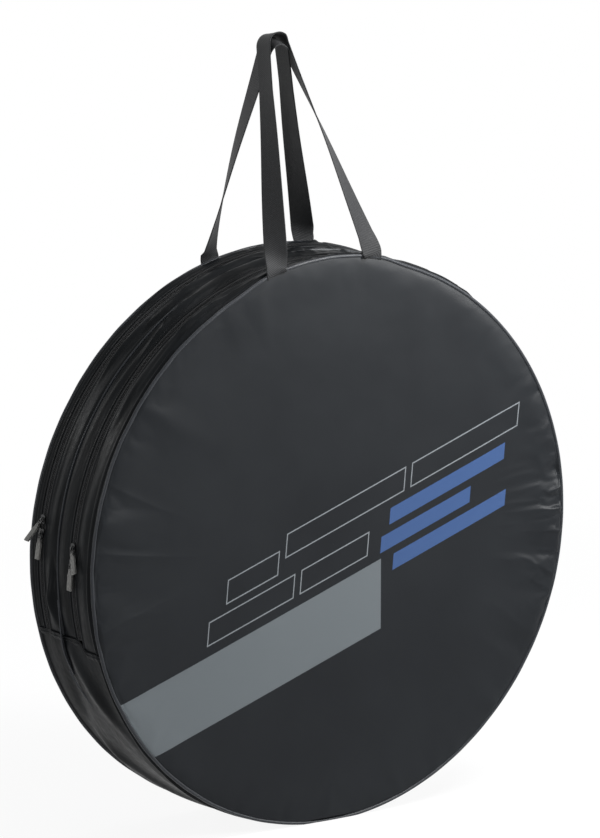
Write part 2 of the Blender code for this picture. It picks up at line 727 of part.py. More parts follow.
def build_handle(side_name, looks, collection, cover_hinge):
    """Make one webbing handle, which swings on the line between its sewn ends."""
    side = SIDES[side_name]
    rows = handle_rows(side_name)
    mesh = ribbon_mesh(f"{side_name}_handle_strap", [row[0] for row in rows], [row[1] for row in rows])
    strap = add_object(f"{side_name}_handle_strap", mesh, looks["webbing"], collection)
    thicken(strap, WEBBING_THICKNESS, 0.0)
    smooth(strap)
    left = handle_base(side, -1)[1]
    right = handle_base(side, 1)[1]
    tilt = math.atan2(left.z - right.z, right.x - left.x)
    pivot = add_pivot(f"{side_name}_handle_hinge", (left + right) / 2, collection, (0.0, tilt, 0.0))
    attach(strap, pivot)
    attach(pivot, cover_hinge)


def make_looks():
    """Make one material for each kind of surface."""
    return {
        "panel": make_material("coated polyester panel", (0.020, 0.021, 0.024), 0.45),
        "gusset": make_material("nylon satin gusset", (0.008, 0.008, 0.010), 0.30),
        "foam": make_material("closed cell foam", (0.080, 0.080, 0.085), 0.90),
        "lining": make_material("polyester lining", (0.030, 0.030, 0.033), 0.70),
        "patch": make_material("hub wear patch", (0.015, 0.015, 0.016), 0.60),
        "piping": make_material("bound piping", (0.012, 0.012, 0.014), 0.40),
        "teeth": make_material("nylon zip coil", (0.006, 0.006, 0.007), 0.35),
        "tape": make_material("woven zip tape", (0.010, 0.010, 0.011), 0.80),
        "slider": make_material("black painted slider", (0.010, 0.010, 0.011), 0.30, 0.6),
        "tab": make_material("grey ribbed tab", (0.110, 0.110, 0.115), 0.75),
        "webbing": make_material("twill webbing", (0.030, 0.030, 0.032), 0.80),
    }


def main():
    """Build the whole bag."""
    clear_scene()
    collection = make_collection("bike_wheel_bag")
    cutters = make_collection("cutters")
    looks = make_looks()
    build_middle(looks, collection)
    build_divider(looks, collection)
    for side_name in SIDES:
        build_lower_panel(side_name, looks, collection)
        hinge = build_cover(side_name, looks, collection)
        build_handle(side_name, looks, collection, hinge)
    build_sliders(looks, collection, cutters)


main()
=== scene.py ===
# %% [markdown]
# # A round bag for two bicycle wheels
#
# The bag is a shallow drum of black cloth that stands on its rim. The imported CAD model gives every
# piece its place. This lesson dresses it: padded panels, creased rim cloth, zips, ribbon tabs,
# webbing handles and the stitching that holds them together.

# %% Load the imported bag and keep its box
import math

import bmesh
import bpy
import numpy as np
from mathutils import Matrix, Vector


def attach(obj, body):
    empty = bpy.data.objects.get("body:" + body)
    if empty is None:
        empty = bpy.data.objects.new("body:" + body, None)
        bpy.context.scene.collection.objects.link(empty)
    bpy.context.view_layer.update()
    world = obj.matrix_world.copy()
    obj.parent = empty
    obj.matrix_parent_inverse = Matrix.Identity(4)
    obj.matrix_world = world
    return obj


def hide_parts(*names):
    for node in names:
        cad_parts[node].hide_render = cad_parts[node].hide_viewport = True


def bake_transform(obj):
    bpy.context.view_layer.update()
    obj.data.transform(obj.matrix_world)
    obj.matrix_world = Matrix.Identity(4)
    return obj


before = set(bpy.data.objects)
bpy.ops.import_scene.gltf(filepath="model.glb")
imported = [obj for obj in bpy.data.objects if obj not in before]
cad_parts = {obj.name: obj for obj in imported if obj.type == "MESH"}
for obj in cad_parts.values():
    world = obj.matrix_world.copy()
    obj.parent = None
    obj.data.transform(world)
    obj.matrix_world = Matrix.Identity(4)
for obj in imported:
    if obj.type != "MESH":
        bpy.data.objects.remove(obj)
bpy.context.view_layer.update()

# %% [markdown]
# Sizes are written once, in millimetres, as a maker would note them, and turned to metres here.
# The rim is described by an angle from its top, so that a strip of cloth is simply a table of
# angles and widths.

# %% Sizes of the drum
MM = 0.001
BAG_RADIUS = 375 * MM
HALF_DEPTH = 73 * MM
CENTRE_Z = 372 * MM
CLOTH_RADIUS = 373.5 * MM
PANEL_RADIUS = 371.2 * MM
ZIP_RADIUS = 372.7 * MM
ZIP_Y = {"front": -28 * MM, "rear": 46 * MM}
SEAM_Y = 9 * MM
ZIP_END = math.radians(103.4)
SIDES = {"front": -1, "rear": 1}
HANDLE_PULL = 7 * MM
PULL_SPAN_DEGREES = (-19.0, 15.5)
PULL_EASE_DEGREES = 1.8
PULL_REACH = 34 * MM


def ease(share):
    """Turn a share into a smooth step from 0 to 1."""
    share = np.clip(share, 0, 1)
    return share * share * (3 - 2 * share)


def hump(distance, middle, width):
    """Give a smooth hump of height 1."""
    return np.exp(-((distance - middle) / width) ** 2)


def on_rim(angles, radii, y):
    """Give points on the rim, kept above the floor where the drum stands."""
    angles, radii, y = np.broadcast_arrays(angles, radii, y)
    z = np.maximum(CENTRE_Z + radii * np.cos(angles), 0.0)
    return np.stack([radii * np.sin(angles), y, z], axis=-1)


def drawn_up(angles, y):
    """Give how far the front edge is lifted where the handle's feet pull on it."""
    degrees = np.degrees(angles)
    begin, end = PULL_SPAN_DEGREES
    after_begin = 1 / (1 + np.exp((begin - degrees) / PULL_EASE_DEGREES))
    before_end = 1 / (1 + np.exp((degrees - end) / PULL_EASE_DEGREES))
    return HANDLE_PULL * after_begin * before_end * ease((-y - PULL_REACH) / PULL_REACH)


# %% [markdown]
# ## Camera
#
# The photograph was taken from far away with a long lens, a little above the bag and from its
# left. The camera stands 11.9 m off and is lifted along its own up direction, which frames the
# bag without a lens shift.

# %% Camera at the photograph's angle
AZIMUTH = math.radians(-34.8)
ELEVATION = math.radians(13.0)
DISTANCE = 11.9
LIFT = 0.1485
back = Vector((
    math.sin(AZIMUTH) * math.cos(ELEVATION), -math.cos(AZIMUTH) * math.cos(ELEVATION),
    math.sin(ELEVATION),
))
turn = (-back).to_track_quat("-Z", "Y")
lens = bpy.data.cameras.new("long_lens")
lens.sensor_width = 36.0
lens.lens = 391.5
lens.clip_end = 100.0
camera = bpy.data.objects.new("camera", lens)
bpy.context.scene.collection.objects.link(camera)
camera.rotation_mode = "QUATERNION"
camera.rotation_quaternion = turn
camera.location = Vector((0, 0, CENTRE_Z)) + back * DISTANCE + turn @ Vector((0, 1, 0)) * LIFT
bpy.context.scene.camera = camera
print("camera at", [round(v, 3) for v in camera.location])

# %% [markdown]
# ## Helpers for finishes
#
# Colours are noted as sRGB hex values, as a colour picker gives them, and one function turns them
# to the linear values that the shader works in. One more function adds a node, sets it and links
# it, so that each material below reads as a short recipe.

# %% Colour and node helpers


def to_linear(code):
    """Turn an sRGB hex colour into linear red, green, blue and alpha."""
    parts = [int(code[place:place + 2], 16) / 255 for place in (1, 3, 5)]
    linear = [part / 12.92 if part <= 0.04045 else ((part + 0.055) / 1.055) ** 2.4 for part in parts]
    return (*linear, 1.0)


def add_node(tree, kind, settings=None, inputs=None):
    """Add a node, set its properties, and feed its inputs with values, outputs or other nodes.

    A node given as an input stands for its first output."""
    made = tree.nodes.new(kind)
    for name, value in (settings or {}).items():
        setattr(made, name, value)
    for name, value in (inputs or {}).items():
        socket = made.inputs[name]
        if isinstance(value, bpy.types.Node):
            value = value.outputs[0]
        if isinstance(value, bpy.types.NodeSocket):
            tree.links.new(value, socket)
        else:
            socket.default_value = value
    return made


def start_material(name, roughness, level=0.5, ior=1.53):
    """Start the material of one real substance, with how rough it is and how strongly it shines."""
    made = bpy.data.materials.new(name)
    made.use_nodes = True
    shader = made.node_tree.nodes["Principled BSDF"]
    shader.inputs["Roughness"].default_value = roughness
    shader.inputs["IOR"].default_value = ior
    shader.inputs["Specular IOR Level"].default_value = level
    return made, made.node_tree, shader


print("black nylon is", [round(v, 4) for v in to_linear("#1b1c20")[:3]], "in linear light")

# %% [markdown]
# ## Cloth finishes
#
# Woven nylon and polyester are plastics of index 1.53, so their gloss comes from the thread's
# smooth surface and the weave breaks it up. The rim cloth is a thin nylon with a satin face: it
# creases sharply and shines along each fold. Its creases run along the strip, so their pattern is
# stretched that way in the strip's own coordinates, which count metres along and across.

# %% Nylon satin for the rim


def satin_nylon():
    """Thin woven nylon with a calendered, shiny face."""
    made, tree, shader = start_material("nylon satin, woven and calendered", 0.34, 0.05)
    place = add_node(tree, "ShaderNodeUVMap")
    along = add_node(tree, "ShaderNodeMapping", inputs={0: place, "Scale": (13.0, 42.0, 1.0)})
    crease = add_node(tree, "ShaderNodeTexNoise", inputs={
        "Vector": along, "Scale": 1.0, "Detail": 4.0, "Roughness": 0.55, "Distortion": 0.6,
    })
    fine_place = add_node(tree, "ShaderNodeMapping", inputs={0: place, "Scale": (110, 170, 1)})
    fine = add_node(tree, "ShaderNodeTexNoise", inputs={
        "Vector": fine_place, "Scale": 1.0, "Detail": 5.0,
    })
    # Painted shade and highlight: the base colour follows the crease height, darker in the crease hollows and
    # paler on the ridges.
    tone = add_node(tree, "ShaderNodeValToRGB", inputs={0: crease})
    tone.color_ramp.elements[0].position = 0.3
    tone.color_ramp.elements[0].color = to_linear("#070809")
    tone.color_ramp.elements[1].position = 0.7
    tone.color_ramp.elements[1].color = to_linear("#0f1113")
    tree.links.new(tone.outputs[0], shader.inputs["Base Color"])
    gloss = add_node(tree, "ShaderNodeMapRange", inputs={
        "Value": fine, "From Min": 0.3, "From Max": 0.7, "To Min": 0.36, "To Max": 0.48,
    })
    tree.links.new(gloss.outputs[0], shader.inputs["Roughness"])
    low = add_node(tree, "ShaderNodeBump", inputs={
        "Strength": 0.55, "Distance": 1.2 * MM, "Height": crease,
    })
    high = add_node(tree, "ShaderNodeBump", inputs={
        "Strength": 0.5, "Distance": 0.6 * MM, "Height": fine, "Normal": low,
    })
    tree.links.new(high.outputs[0], shader.inputs["Normal"])
    return made


rim_cloth = satin_nylon()
print("made", rim_cloth.name)

# %% [markdown]
# The panels are a heavier polyester with a coating. The coating fills the weave, so the surface is
# smooth and only softly glossy. The print is ink on that coating: a plain grey band that runs in
# from the left edge, blue bars beside it and rows of thin outlined bars above. It is drawn in
# coordinates that lean with the band, where each bar is a simple pair of comparisons.

# %% Masks of the print
PRINT_LEAN = math.radians(18.8)
BAND_LOW = -142 * MM
BAND_HIGH = -53 * MM
BAND_END_X = 76 * MM


def region_mask(tree, *limits):
    """Give 1 where each value lies between its own two limits, and 0 elsewhere."""
    mask = None
    for value, low, high in limits:
        part = add_node(tree, "ShaderNodeMath", {"operation": "COMPARE"}, {
            0: value, 1: (low + high) / 2, 2: (high - low) / 2,
        }).outputs[0]
        if mask is None:
            mask = part
        else:
            mask = add_node(tree, "ShaderNodeMath", {"operation": "MULTIPLY"}, {0: mask, 1: part}).outputs[0]
    return mask


def bar_rows(tree, along, up, bars, line=None):
    """Give 1 inside any of several leaning bars, or on their outlines alone where a line is given."""
    total = None
    for ends, heights in bars:
        mask = region_mask(tree, (along, *ends), (up, *heights))
        if line:
            inner = region_mask(tree, (along, ends[0] + line, ends[1] - line),
                                (up, heights[0] + line, heights[1] - line))
            mask = add_node(tree, "ShaderNodeMath", {"operation": "SUBTRACT"}, {0: mask, 1: inner}).outputs[0]
        if total:
            mask = add_node(tree, "ShaderNodeMath", {"operation": "MAXIMUM"}, {0: total, 1: mask}).outputs[0]
        total = mask
    return total


OUTLINE = 1.7 * MM
PRINT_DEPTH = (-110 * MM, -69 * MM)
BLUE_BARS = [
    ((96 * MM, 292 * MM), (-16 * MM, 4 * MM)),
    ((84 * MM, 236 * MM), (-46 * MM, -26 * MM)),
    ((108 * MM, 300 * MM), (-76 * MM, -56 * MM)),
]
OUTLINED_BARS = [
    ((-205 * MM, -62 * MM), (-40 * MM, -10 * MM)),
    ((-52 * MM, 62 * MM), (-40 * MM, -10 * MM)),
    ((-178 * MM, -92 * MM), (0 * MM, 30 * MM)),
    ((-82 * MM, 118 * MM), (16 * MM, 46 * MM)),
    ((128 * MM, 312 * MM), (16 * MM, 46 * MM)),
]


print("print drawn with", len(BLUE_BARS) + len(OUTLINED_BARS), "bars and a band")

# %% [markdown]
# The cloth itself is the same on both panels. Only the front one carries the print, and only on its
# outer face, so each mask is also limited in depth.

# %% Coated polyester, bare or printed


def coated_polyester(name, printed):
    """Heavy woven polyester with a smooth coating, bare or printed."""
    made, tree, shader = start_material(name, 0.46, 0.12)
    place = add_node(tree, "ShaderNodeTexCoord")
    cloud = add_node(tree, "ShaderNodeTexNoise", inputs={
        "Vector": place.outputs["Object"], "Scale": 7.0, "Detail": 3.0, "Roughness": 0.5,
    })
    grain = add_node(tree, "ShaderNodeTexNoise", inputs={
        "Vector": place.outputs["Object"], "Scale": 900.0, "Detail": 1.0,
    })
    # The mottled base colour follows the same noise as the swell bump, so it is a random tone and also
    # painted shade, darker in the swells' hollows and paler on their crests.
    colour = add_node(tree, "ShaderNodeMix", {"data_type": "RGBA"}, {
        0: cloud, 6: to_linear("#101215"), 7: to_linear("#16191c"),
    }).outputs[2]
    if printed:
        apart = add_node(tree, "ShaderNodeSeparateXYZ", inputs={0: place.outputs["Object"]})
        height = add_node(tree, "ShaderNodeMath", {"operation": "SUBTRACT"}, {
            0: apart.outputs["Z"], 1: CENTRE_Z,
        }).outputs[0]
        lean = add_node(tree, "ShaderNodeCombineXYZ", inputs={"X": apart.outputs["X"], "Y": height})
        turned = add_node(tree, "ShaderNodeVectorRotate", {"rotation_type": "Z_AXIS"}, {
            "Vector": lean, "Angle": -PRINT_LEAN,
        })
        axes = add_node(tree, "ShaderNodeSeparateXYZ", inputs={0: turned})
        along, up = axes.outputs["X"], axes.outputs["Y"]
        slanted = add_node(tree, "ShaderNodeMath", {"operation": "MULTIPLY_ADD"}, {
            0: up, 1: -0.45, 2: along,
        }).outputs[0]
        band = region_mask(tree, (up, BAND_LOW, BAND_HIGH), (apart.outputs["X"], -2 * BAG_RADIUS, BAND_END_X))
        blue = bar_rows(tree, slanted, up, BLUE_BARS)
        lines = bar_rows(tree, slanted, up, OUTLINED_BARS, OUTLINE)
        outside = region_mask(tree, (apart.outputs["Y"], *PRINT_DEPTH))
        for mask, ink in ((band, "#515659"), (blue, "#2d4266"), (lines, "#64686b")):
            printed_here = add_node(tree, "ShaderNodeMath", {"operation": "MULTIPLY"}, {0: mask, 1: outside})
            colour = add_node(tree, "ShaderNodeMix", {"data_type": "RGBA"}, {
                0: printed_here, 6: colour, 7: to_linear(ink),
            }).outputs[2]
    tree.links.new(colour, shader.inputs["Base Color"])
    gloss = add_node(tree, "ShaderNodeMapRange", inputs={
        "Value": cloud, "From Min": 0.3, "From Max": 0.7, "To Min": 0.34, "To Max": 0.44,
    })
    tree.links.new(gloss.outputs[0], shader.inputs["Roughness"])
    swell = add_node(tree, "ShaderNodeBump", inputs={
        "Strength": 0.35, "Distance": 4 * MM, "Height": cloud,
    })
    weave = add_node(tree, "ShaderNodeBump", inputs={
        "Strength": 0.18, "Distance": 0.2 * MM, "Height": grain, "Normal": swell,
    })
    tree.links.new(weave.outputs[0], shader.inputs["Normal"])
    return made


front_cloth = coated_polyester("coated polyester, woven and printed", True)
rear_cloth = coated_polyester("coated polyester, woven", False)
print("made", front_cloth.name, "with", len(front_cloth.node_tree.nodes), "nodes")

# %% [markdown]
# The remaining cloths are ribbed or twilled. Handle webbing is a polyester twill whose slanting
# ribs repeat about every 2.6 mm. Ribbon has ribs straight across, and zip tape a fine slanting
# twill. All of them use the strip's own coordinates, so the ribs follow a strap as it twists.

# %% Ribbed cloths: webbing, ribbon, tape, lining and thread


def ribbed_cloth(name, dark, light, roughness, pitch, slant, depth):
    """Woven narrow cloth with ribs a given pitch apart and deep, in millimetres, at a given slope."""
    made, tree, shader = start_material(name, roughness, 0.18)
    shader.inputs["Sheen Weight"].default_value = 0.04
    shader.inputs["Sheen Roughness"].default_value = 0.5
    place = add_node(tree, "ShaderNodeUVMap")
    apart = add_node(tree, "ShaderNodeSeparateXYZ", inputs={0: place})
    lean = add_node(tree, "ShaderNodeMath", {"operation": "MULTIPLY_ADD"}, {
        0: apart.outputs["Y"], 1: slant, 2: apart.outputs["X"],
    })
    phase = add_node(tree, "ShaderNodeMath", {"operation": "MULTIPLY"}, {
        0: lean, 1: 2 * math.pi / (pitch * MM),
    })
    rib = add_node(tree, "ShaderNodeMath", {"operation": "SINE"}, {0: phase})
    level = add_node(tree, "ShaderNodeMapRange", inputs={"Value": rib, "From Min": -1.0})
    spread = add_node(tree, "ShaderNodeTexNoise", inputs={"Vector": place, "Scale": 260.0})
    # Painted shade and highlight along the ribs: the colour is darker in the rib grooves and paler on the
    # crests, at the bump's own height, scaled by a random mottle.
    rib_shade_and_mottle = add_node(tree, "ShaderNodeMath", {"operation": "MULTIPLY"}, {
        0: level, 1: spread,
    })
    tone = add_node(tree, "ShaderNodeMix", {"data_type": "RGBA"}, {
        0: rib_shade_and_mottle, 6: to_linear(dark), 7: to_linear(light),
    })
    tree.links.new(tone.outputs[2], shader.inputs["Base Color"])
    bump = add_node(tree, "ShaderNodeBump", inputs={
        "Strength": 0.6, "Distance": depth * MM, "Height": level,
    })
    tree.links.new(bump.outputs[0], shader.inputs["Normal"])
    return made


# Each recipe: name, the groove colour painted as shade, the crest colour painted as highlight, roughness, and
# the ribs' pitch, slant and depth in millimetres.
NARROW_CLOTHS = {
    "webbing": ("polyester webbing, twill woven", "#0d0e0f", "#2c2d2f", 0.62, 2.6, 0.7, 0.4),
    "ribbon": ("polyester ribbon, rib woven", "#3a3a39", "#9a9995", 0.7, 1.6, 0.0, 0.3),
    "tape": ("polyester zip tape, woven", "#0d0e10", "#1c1d1f", 0.75, 1.2, 0.5, 0.15),
    "lining": ("polyester lining, plain woven", "#26282b", "#3d3f43", 0.66, 1.4, 0.0, 0.1),
    "patch": ("coated wear patch, plain woven", "#17181a", "#2a2b2e", 0.5, 1.8, 0.6, 0.12),
    "binding": ("nylon binding, satin woven", "#1a1c1f", "#303338", 0.36, 1.2, 0.0, 0.05),
    "thread": ("polyester thread, twisted", "#0c0d0e", "#1c1d1f", 0.55, 0.9, 0.5, 0.1),
}
narrow = {name: ribbed_cloth(*recipe) for name, recipe in NARROW_CLOTHS.items()}
print("made narrow cloths:", ", ".join(narrow))

# %% [markdown]
# The coil is nylon line, moulded to shape and left glossy. The sliders are cast zinc with a black
# paint, which gives soft highlights and rubs a little paler where fingers touch it.

# %% Nylon coil and painted zinc


def moulded_nylon():
    """Glossy black nylon, slightly uneven from its moulding."""
    made, tree, shader = start_material("nylon coil, moulded", 0.4, 0.12)
    place = add_node(tree, "ShaderNodeTexCoord")
    noise = add_node(tree, "ShaderNodeTexNoise", inputs={"Vector": place.outputs["Object"], "Scale": 300.0})
    tone = add_node(tree, "ShaderNodeMix", {"data_type": "RGBA"}, {
        0: noise, 6: to_linear("#08090a"), 7: to_linear("#121315"),
    })
    tree.links.new(tone.outputs[2], shader.inputs["Base Color"])
    return made


def painted_zinc():
    """Die-cast zinc with black paint."""
    made, tree, shader = start_material("zinc, die cast and painted", 0.36, 0.35, 1.5)
    place = add_node(tree, "ShaderNodeTexCoord")
    noise = add_node(tree, "ShaderNodeTexNoise", inputs={
        "Vector": place.outputs["Object"], "Scale": 420.0, "Detail": 3.0,
    })
    rub = add_node(tree, "ShaderNodeValToRGB", inputs={0: noise})
    rub.color_ramp.elements[0].position = 0.45
    rub.color_ramp.elements[0].color = to_linear("#0a0b0c")
    rub.color_ramp.elements[1].position = 0.8
    rub.color_ramp.elements[1].color = to_linear("#1d1e20")
    tree.links.new(rub.outputs[0], shader.inputs["Base Color"])
    gloss = add_node(tree, "ShaderNodeMapRange", inputs={
        "Value": noise, "To Min": 0.28, "To Max": 0.5,
    })
    tree.links.new(gloss.outputs[0], shader.inputs["Roughness"])
    return made


coil_nylon = moulded_nylon()
slider_zinc = painted_zinc()
print("made", coil_nylon.name, "and", slider_zinc.name)

# %% [markdown]
# ## Sheets of cloth
#
# Every strip of cloth here is a table of points, rows by columns. One function turns such a table
# into a mesh with its own coordinates in metres, and one makes a piece of it, with the cloth's own
# thickness. A pad or a strap is such a table too, closed by welding the edges that meet.

# %% Build a cloth sheet from a table of points


def side_by_side(*values):
    """Put numbers or tables of fitting shapes side by side, as the last axis of one table."""
    return np.stack(np.broadcast_arrays(*values), axis=-1)


def grid_faces(rows, columns):
    """Give the four corners of every square in a table of points."""
    index = np.arange(rows * columns).reshape(rows, columns)
    return np.stack((index[:-1, :-1], index[1:, :-1], index[1:, 1:], index[:-1, 1:]), axis=-1).reshape(-1, 4)


def sheet_mesh(name, points, places):
    """Make a mesh from rows and columns of points, with a flat place in metres for each."""
    faces = grid_faces(*points.shape[:2])
    mesh = bpy.data.meshes.new(name)
    mesh.from_pydata(points.reshape(-1, 3).tolist(), [], faces.tolist())
    flat = mesh.uv_layers.new(name="UVMap")
    flat.data.foreach_set("uv", places.reshape(-1, 2)[faces.ravel()].astype(np.float32).ravel())
    mesh.shade_smooth()
    mesh.update()
    return mesh


def weld(mesh, reach, close=False):
    """Join the points closer than a reach, close the open ends if asked, and turn faces outwards."""
    shape = bmesh.new()
    shape.from_mesh(mesh)
    bmesh.ops.remove_doubles(shape, verts=shape.verts[:], dist=reach)
    if close:
        bmesh.ops.holes_fill(shape, edges=[edge for edge in shape.edges if edge.is_boundary])
    bmesh.ops.recalc_face_normals(shape, faces=shape.faces[:])
    shape.to_mesh(mesh)
    shape.free()
    mesh.shade_smooth()
    return mesh


def add_piece(name, mesh, *materials):
    """Put a mesh into the scene under its own name with its materials."""
    made = bpy.data.objects.new(name, mesh)
    bpy.context.scene.collection.objects.link(made)
    for material in materials:
        mesh.materials.append(material)
    return made


def cloth_piece(name, points, places, *materials, thickness=0.0, growth=-1.0):
    """Add a sheet, thickened inwards or to both sides, with its last material on the far face."""
    made = add_piece(name, sheet_mesh(name, points, places), *materials)
    if thickness:
        solid = made.modifiers.new("Cloth thickness", "SOLIDIFY")
        solid.thickness = thickness
        solid.offset = growth
        solid.material_offset = len(materials) - 1
    return made


print("sheet helpers ready")

# %% [markdown]
# ## Rim cloth
#
# The rim is a row of narrow strips. A slack strip doesn't lie evenly: it forms long folds that run
# round the drum, and small creases between them. The long folds come first, as gentle ridges that
# wander along the strip. Blender's cloth solver then lets each strip, cut slightly too large for
# its seams, buckle between its sewn edges, which gives creases that no formula would draw.

# %% Long folds that wander round the rim


def long_folds(angles, across, seed, count, height, width):
    """Give how far each point of a strip stands out, as ridges and hollows that wander."""
    chance = np.random.default_rng(seed)
    low, high = across.min(), across.max()
    total = np.zeros(np.broadcast_shapes(angles.shape, across.shape))
    for _ in range(count):
        middle = chance.uniform(low, high)
        sway = chance.uniform(0.1, 0.35) * (high - low)
        wander = middle + sway * np.sin(angles * chance.uniform(1.5, 4.5) + chance.uniform(0, 6.3))
        start = chance.uniform(angles.min() - 0.4, angles.max() - 0.2)
        length = chance.uniform(0.35, 1.1)
        share = np.clip((angles - start) / length, 0, 1)
        strength = np.sin(np.pi * share) ** 2
        lift = chance.uniform(0.4, 1.0) * chance.choice([1.0, -0.7])
        total += lift * height * strength * hump(across, wander, width * chance.uniform(0.7, 1.5))
    return total


HEM_STEP = math.radians(2.0)
HEM_STEP_Y = -22 * MM
HEM_STEP_WIDTH = 20 * MM


def hem_angle(y):
    """Give the lower seam's angle from the top: it steps down in front of the front zip."""
    return ZIP_END + HEM_STEP * ease((HEM_STEP_Y - y) / HEM_STEP_WIDTH)


def edge_hold(across, near, far, margin):
    """Give 0 at a strip's two sewn edges and 1 a little way in."""
    return ease(np.minimum(np.abs(across - near), np.abs(across - far)) / margin)


print("folds ready")

# %% Describe each strip of the rim
TOP_SPAN = (-ZIP_END, ZIP_END)
LOW_SPAN = (ZIP_END, 2 * math.pi - ZIP_END)
ROW_STEP = 3.6 * MM
FINE_STEP = 1.25 * MM
COARSE_STEP = 3.4 * MM
FINE_MARGIN = 9 * MM
LIP = 5.8 * MM
PIPED_EDGE = 69.0 * MM
STRIPS = {
    "front_cover_gusset": {
        "span": TOP_SPAN, "edges": (-PIPED_EDGE, ZIP_Y["front"] - LIP), "kinds": ("piped", "zipped"),
        "seed": 11, "count": 16, "height": 2.6 * MM, "width": 6 * MM,
    },
    "mid_gusset_front": {
        "span": TOP_SPAN, "edges": (ZIP_Y["front"] + LIP, SEAM_Y - 1.2 * MM), "kinds": ("zipped", "seamed"),
        "seed": 23, "count": 24, "height": 4.4 * MM, "width": 5.5 * MM,
    },
    "mid_gusset_rear": {
        "span": TOP_SPAN, "edges": (SEAM_Y + 1.2 * MM, ZIP_Y["rear"] - LIP), "kinds": ("seamed", "zipped"),
        "seed": 37, "count": 24, "height": 4.4 * MM, "width": 5.5 * MM,
    },
    "rear_cover_gusset": {
        "span": TOP_SPAN, "edges": (ZIP_Y["rear"] + LIP, PIPED_EDGE), "kinds": ("zipped", "piped"),
        "seed": 41, "count": 12, "height": 1.6 * MM, "width": 4 * MM,
    },
    "lower_gusset": {
        "span": LOW_SPAN, "edges": (-PIPED_EDGE, PIPED_EDGE), "kinds": ("piped", "piped"),
        "seed": 53, "count": 34, "height": 4.5 * MM, "width": 13 * MM,
    },
}


def columns_between(near, far):
    """Space the columns finely beside each sewn edge and widely between them."""
    margin = min(FINE_MARGIN, (far - near) / 2)
    fine = np.linspace(0, margin, max(3, round(margin / FINE_STEP) + 1))
    middle = max(0, round((far - near - 2 * margin) / COARSE_STEP))
    between = np.linspace(near + margin, far - margin, middle + 2)[1:-1]
    return np.concatenate([near + fine, between, (far - fine)[::-1]])


print("strips described:", ", ".join(STRIPS))

# %% [markdown]
# On top of the long folds come the ones with a cause. Beside a seam the cloth rolls into a lip or a
# ridge. The handles' feet draw sharp folds down the sides and crumple what lies between them. Beside
# the centre seam one large fold has fallen over. All of them fade out by the sewn edges.

# %% Draw each strip with its own folds
DRAWN_FOLDS = 16
CRUMPLES = 60
EDGE_MARGIN = 7 * MM
END_MARGIN = 0.04


# each sewn edge's ridges and grooves: height, distance from the edge and width, in millimetres
EDGE_FORMS = {
    "zipped": ((0.9, 1.4, 1.3), (-0.35, 3.9, 0.9)),
    "piped": ((1.5, 5.4, 1.5), (-1.7, 2.6, 1.2)),
    "seamed": ((-0.8, 0.0, 2.2),),
}


def edge_form(distance, kind):
    """Give how a strip stands out beside one sewn edge: a rolled lip at a zip, a ridge and a groove
    beside the piping, or a plain fall to a seam."""
    return sum(
        height * MM * hump(distance, middle * MM, width * MM)
        for height, middle, width in EDGE_FORMS[kind]
    )


def sewn_angles(angles, across):
    """Shift the rows near the lower seams, so that a strip's end follows the seam's step."""
    turned = np.abs(angles)
    turned = np.where(turned > math.pi, 2 * math.pi - turned, turned)
    near_seam = hump(turned, ZIP_END, math.radians(6))
    shift = (hem_angle(across) - ZIP_END) * near_seam
    return angles + np.where(angles > math.pi, -1, np.sign(angles)) * shift


def drawn_folds(angles, across, near, far, seed):
    """Give the sharp folds that the handles' feet draw along the rim, from the top down its sides."""
    chance = np.random.default_rng(seed + 100)
    total = 0.0
    for _ in range(DRAWN_FOLDS):
        side = chance.choice([-1.0, 1.0])
        start = math.radians(chance.uniform(12, 30))
        end = start + math.radians(chance.uniform(14, 38))
        begins, ends = chance.uniform(near, far, 2)
        share = (side * angles - start) / (end - start)
        path = begins + (ends - begins) * 0.6 * share + 2.5 * MM * np.sin(share * chance.uniform(3, 7))
        fade = np.sin(np.pi * np.clip(share, 0, 1)) ** 1.5
        size = chance.uniform(2.2, 5.0) * MM * chance.choice([1.0, -0.7])
        total = total + size * fade * np.exp(-np.abs(across - path) / (chance.uniform(1.5, 3.0) * MM))
    return total


def fallen_fold(angles, across):
    """Give the fold that has fallen over the seam's lower end, with the hollow above it."""
    turned = np.degrees(np.abs(angles))
    fold = 8.5 * MM * hump(turned, 96.2, 3.9) * hump(across, 21 * MM, 7.5 * MM)
    hollow = 5.5 * MM * hump(turned, 91.6, 2.8) * hump(across, 15 * MM, 4.5 * MM)
    return fold - hollow


def crumpled(angles, across, near, far):
    """Give the short creases, crossing each other, that fill the rim between the handle's feet."""
    chance = np.random.default_rng(7)
    total = 0.0
    for _ in range(CRUMPLES):
        angle = chance.uniform(math.radians(-9), math.radians(13))
        place = chance.uniform(near, far)
        turned = chance.uniform(-0.9, 0.9)
        step_along = (angles - angle) * CLOTH_RADIUS
        line = (across - place) * math.cos(turned) + step_along * math.sin(turned)
        run = step_along * math.cos(turned) - (across - place) * math.sin(turned)
        size = chance.uniform(1.2, 3.2) * MM * chance.choice([1.0, -0.8])
        total = total + 0.55 * size * hump(line, 0.0, 2.6 * MM) * hump(run, 0.0, 14 * MM)
    return total


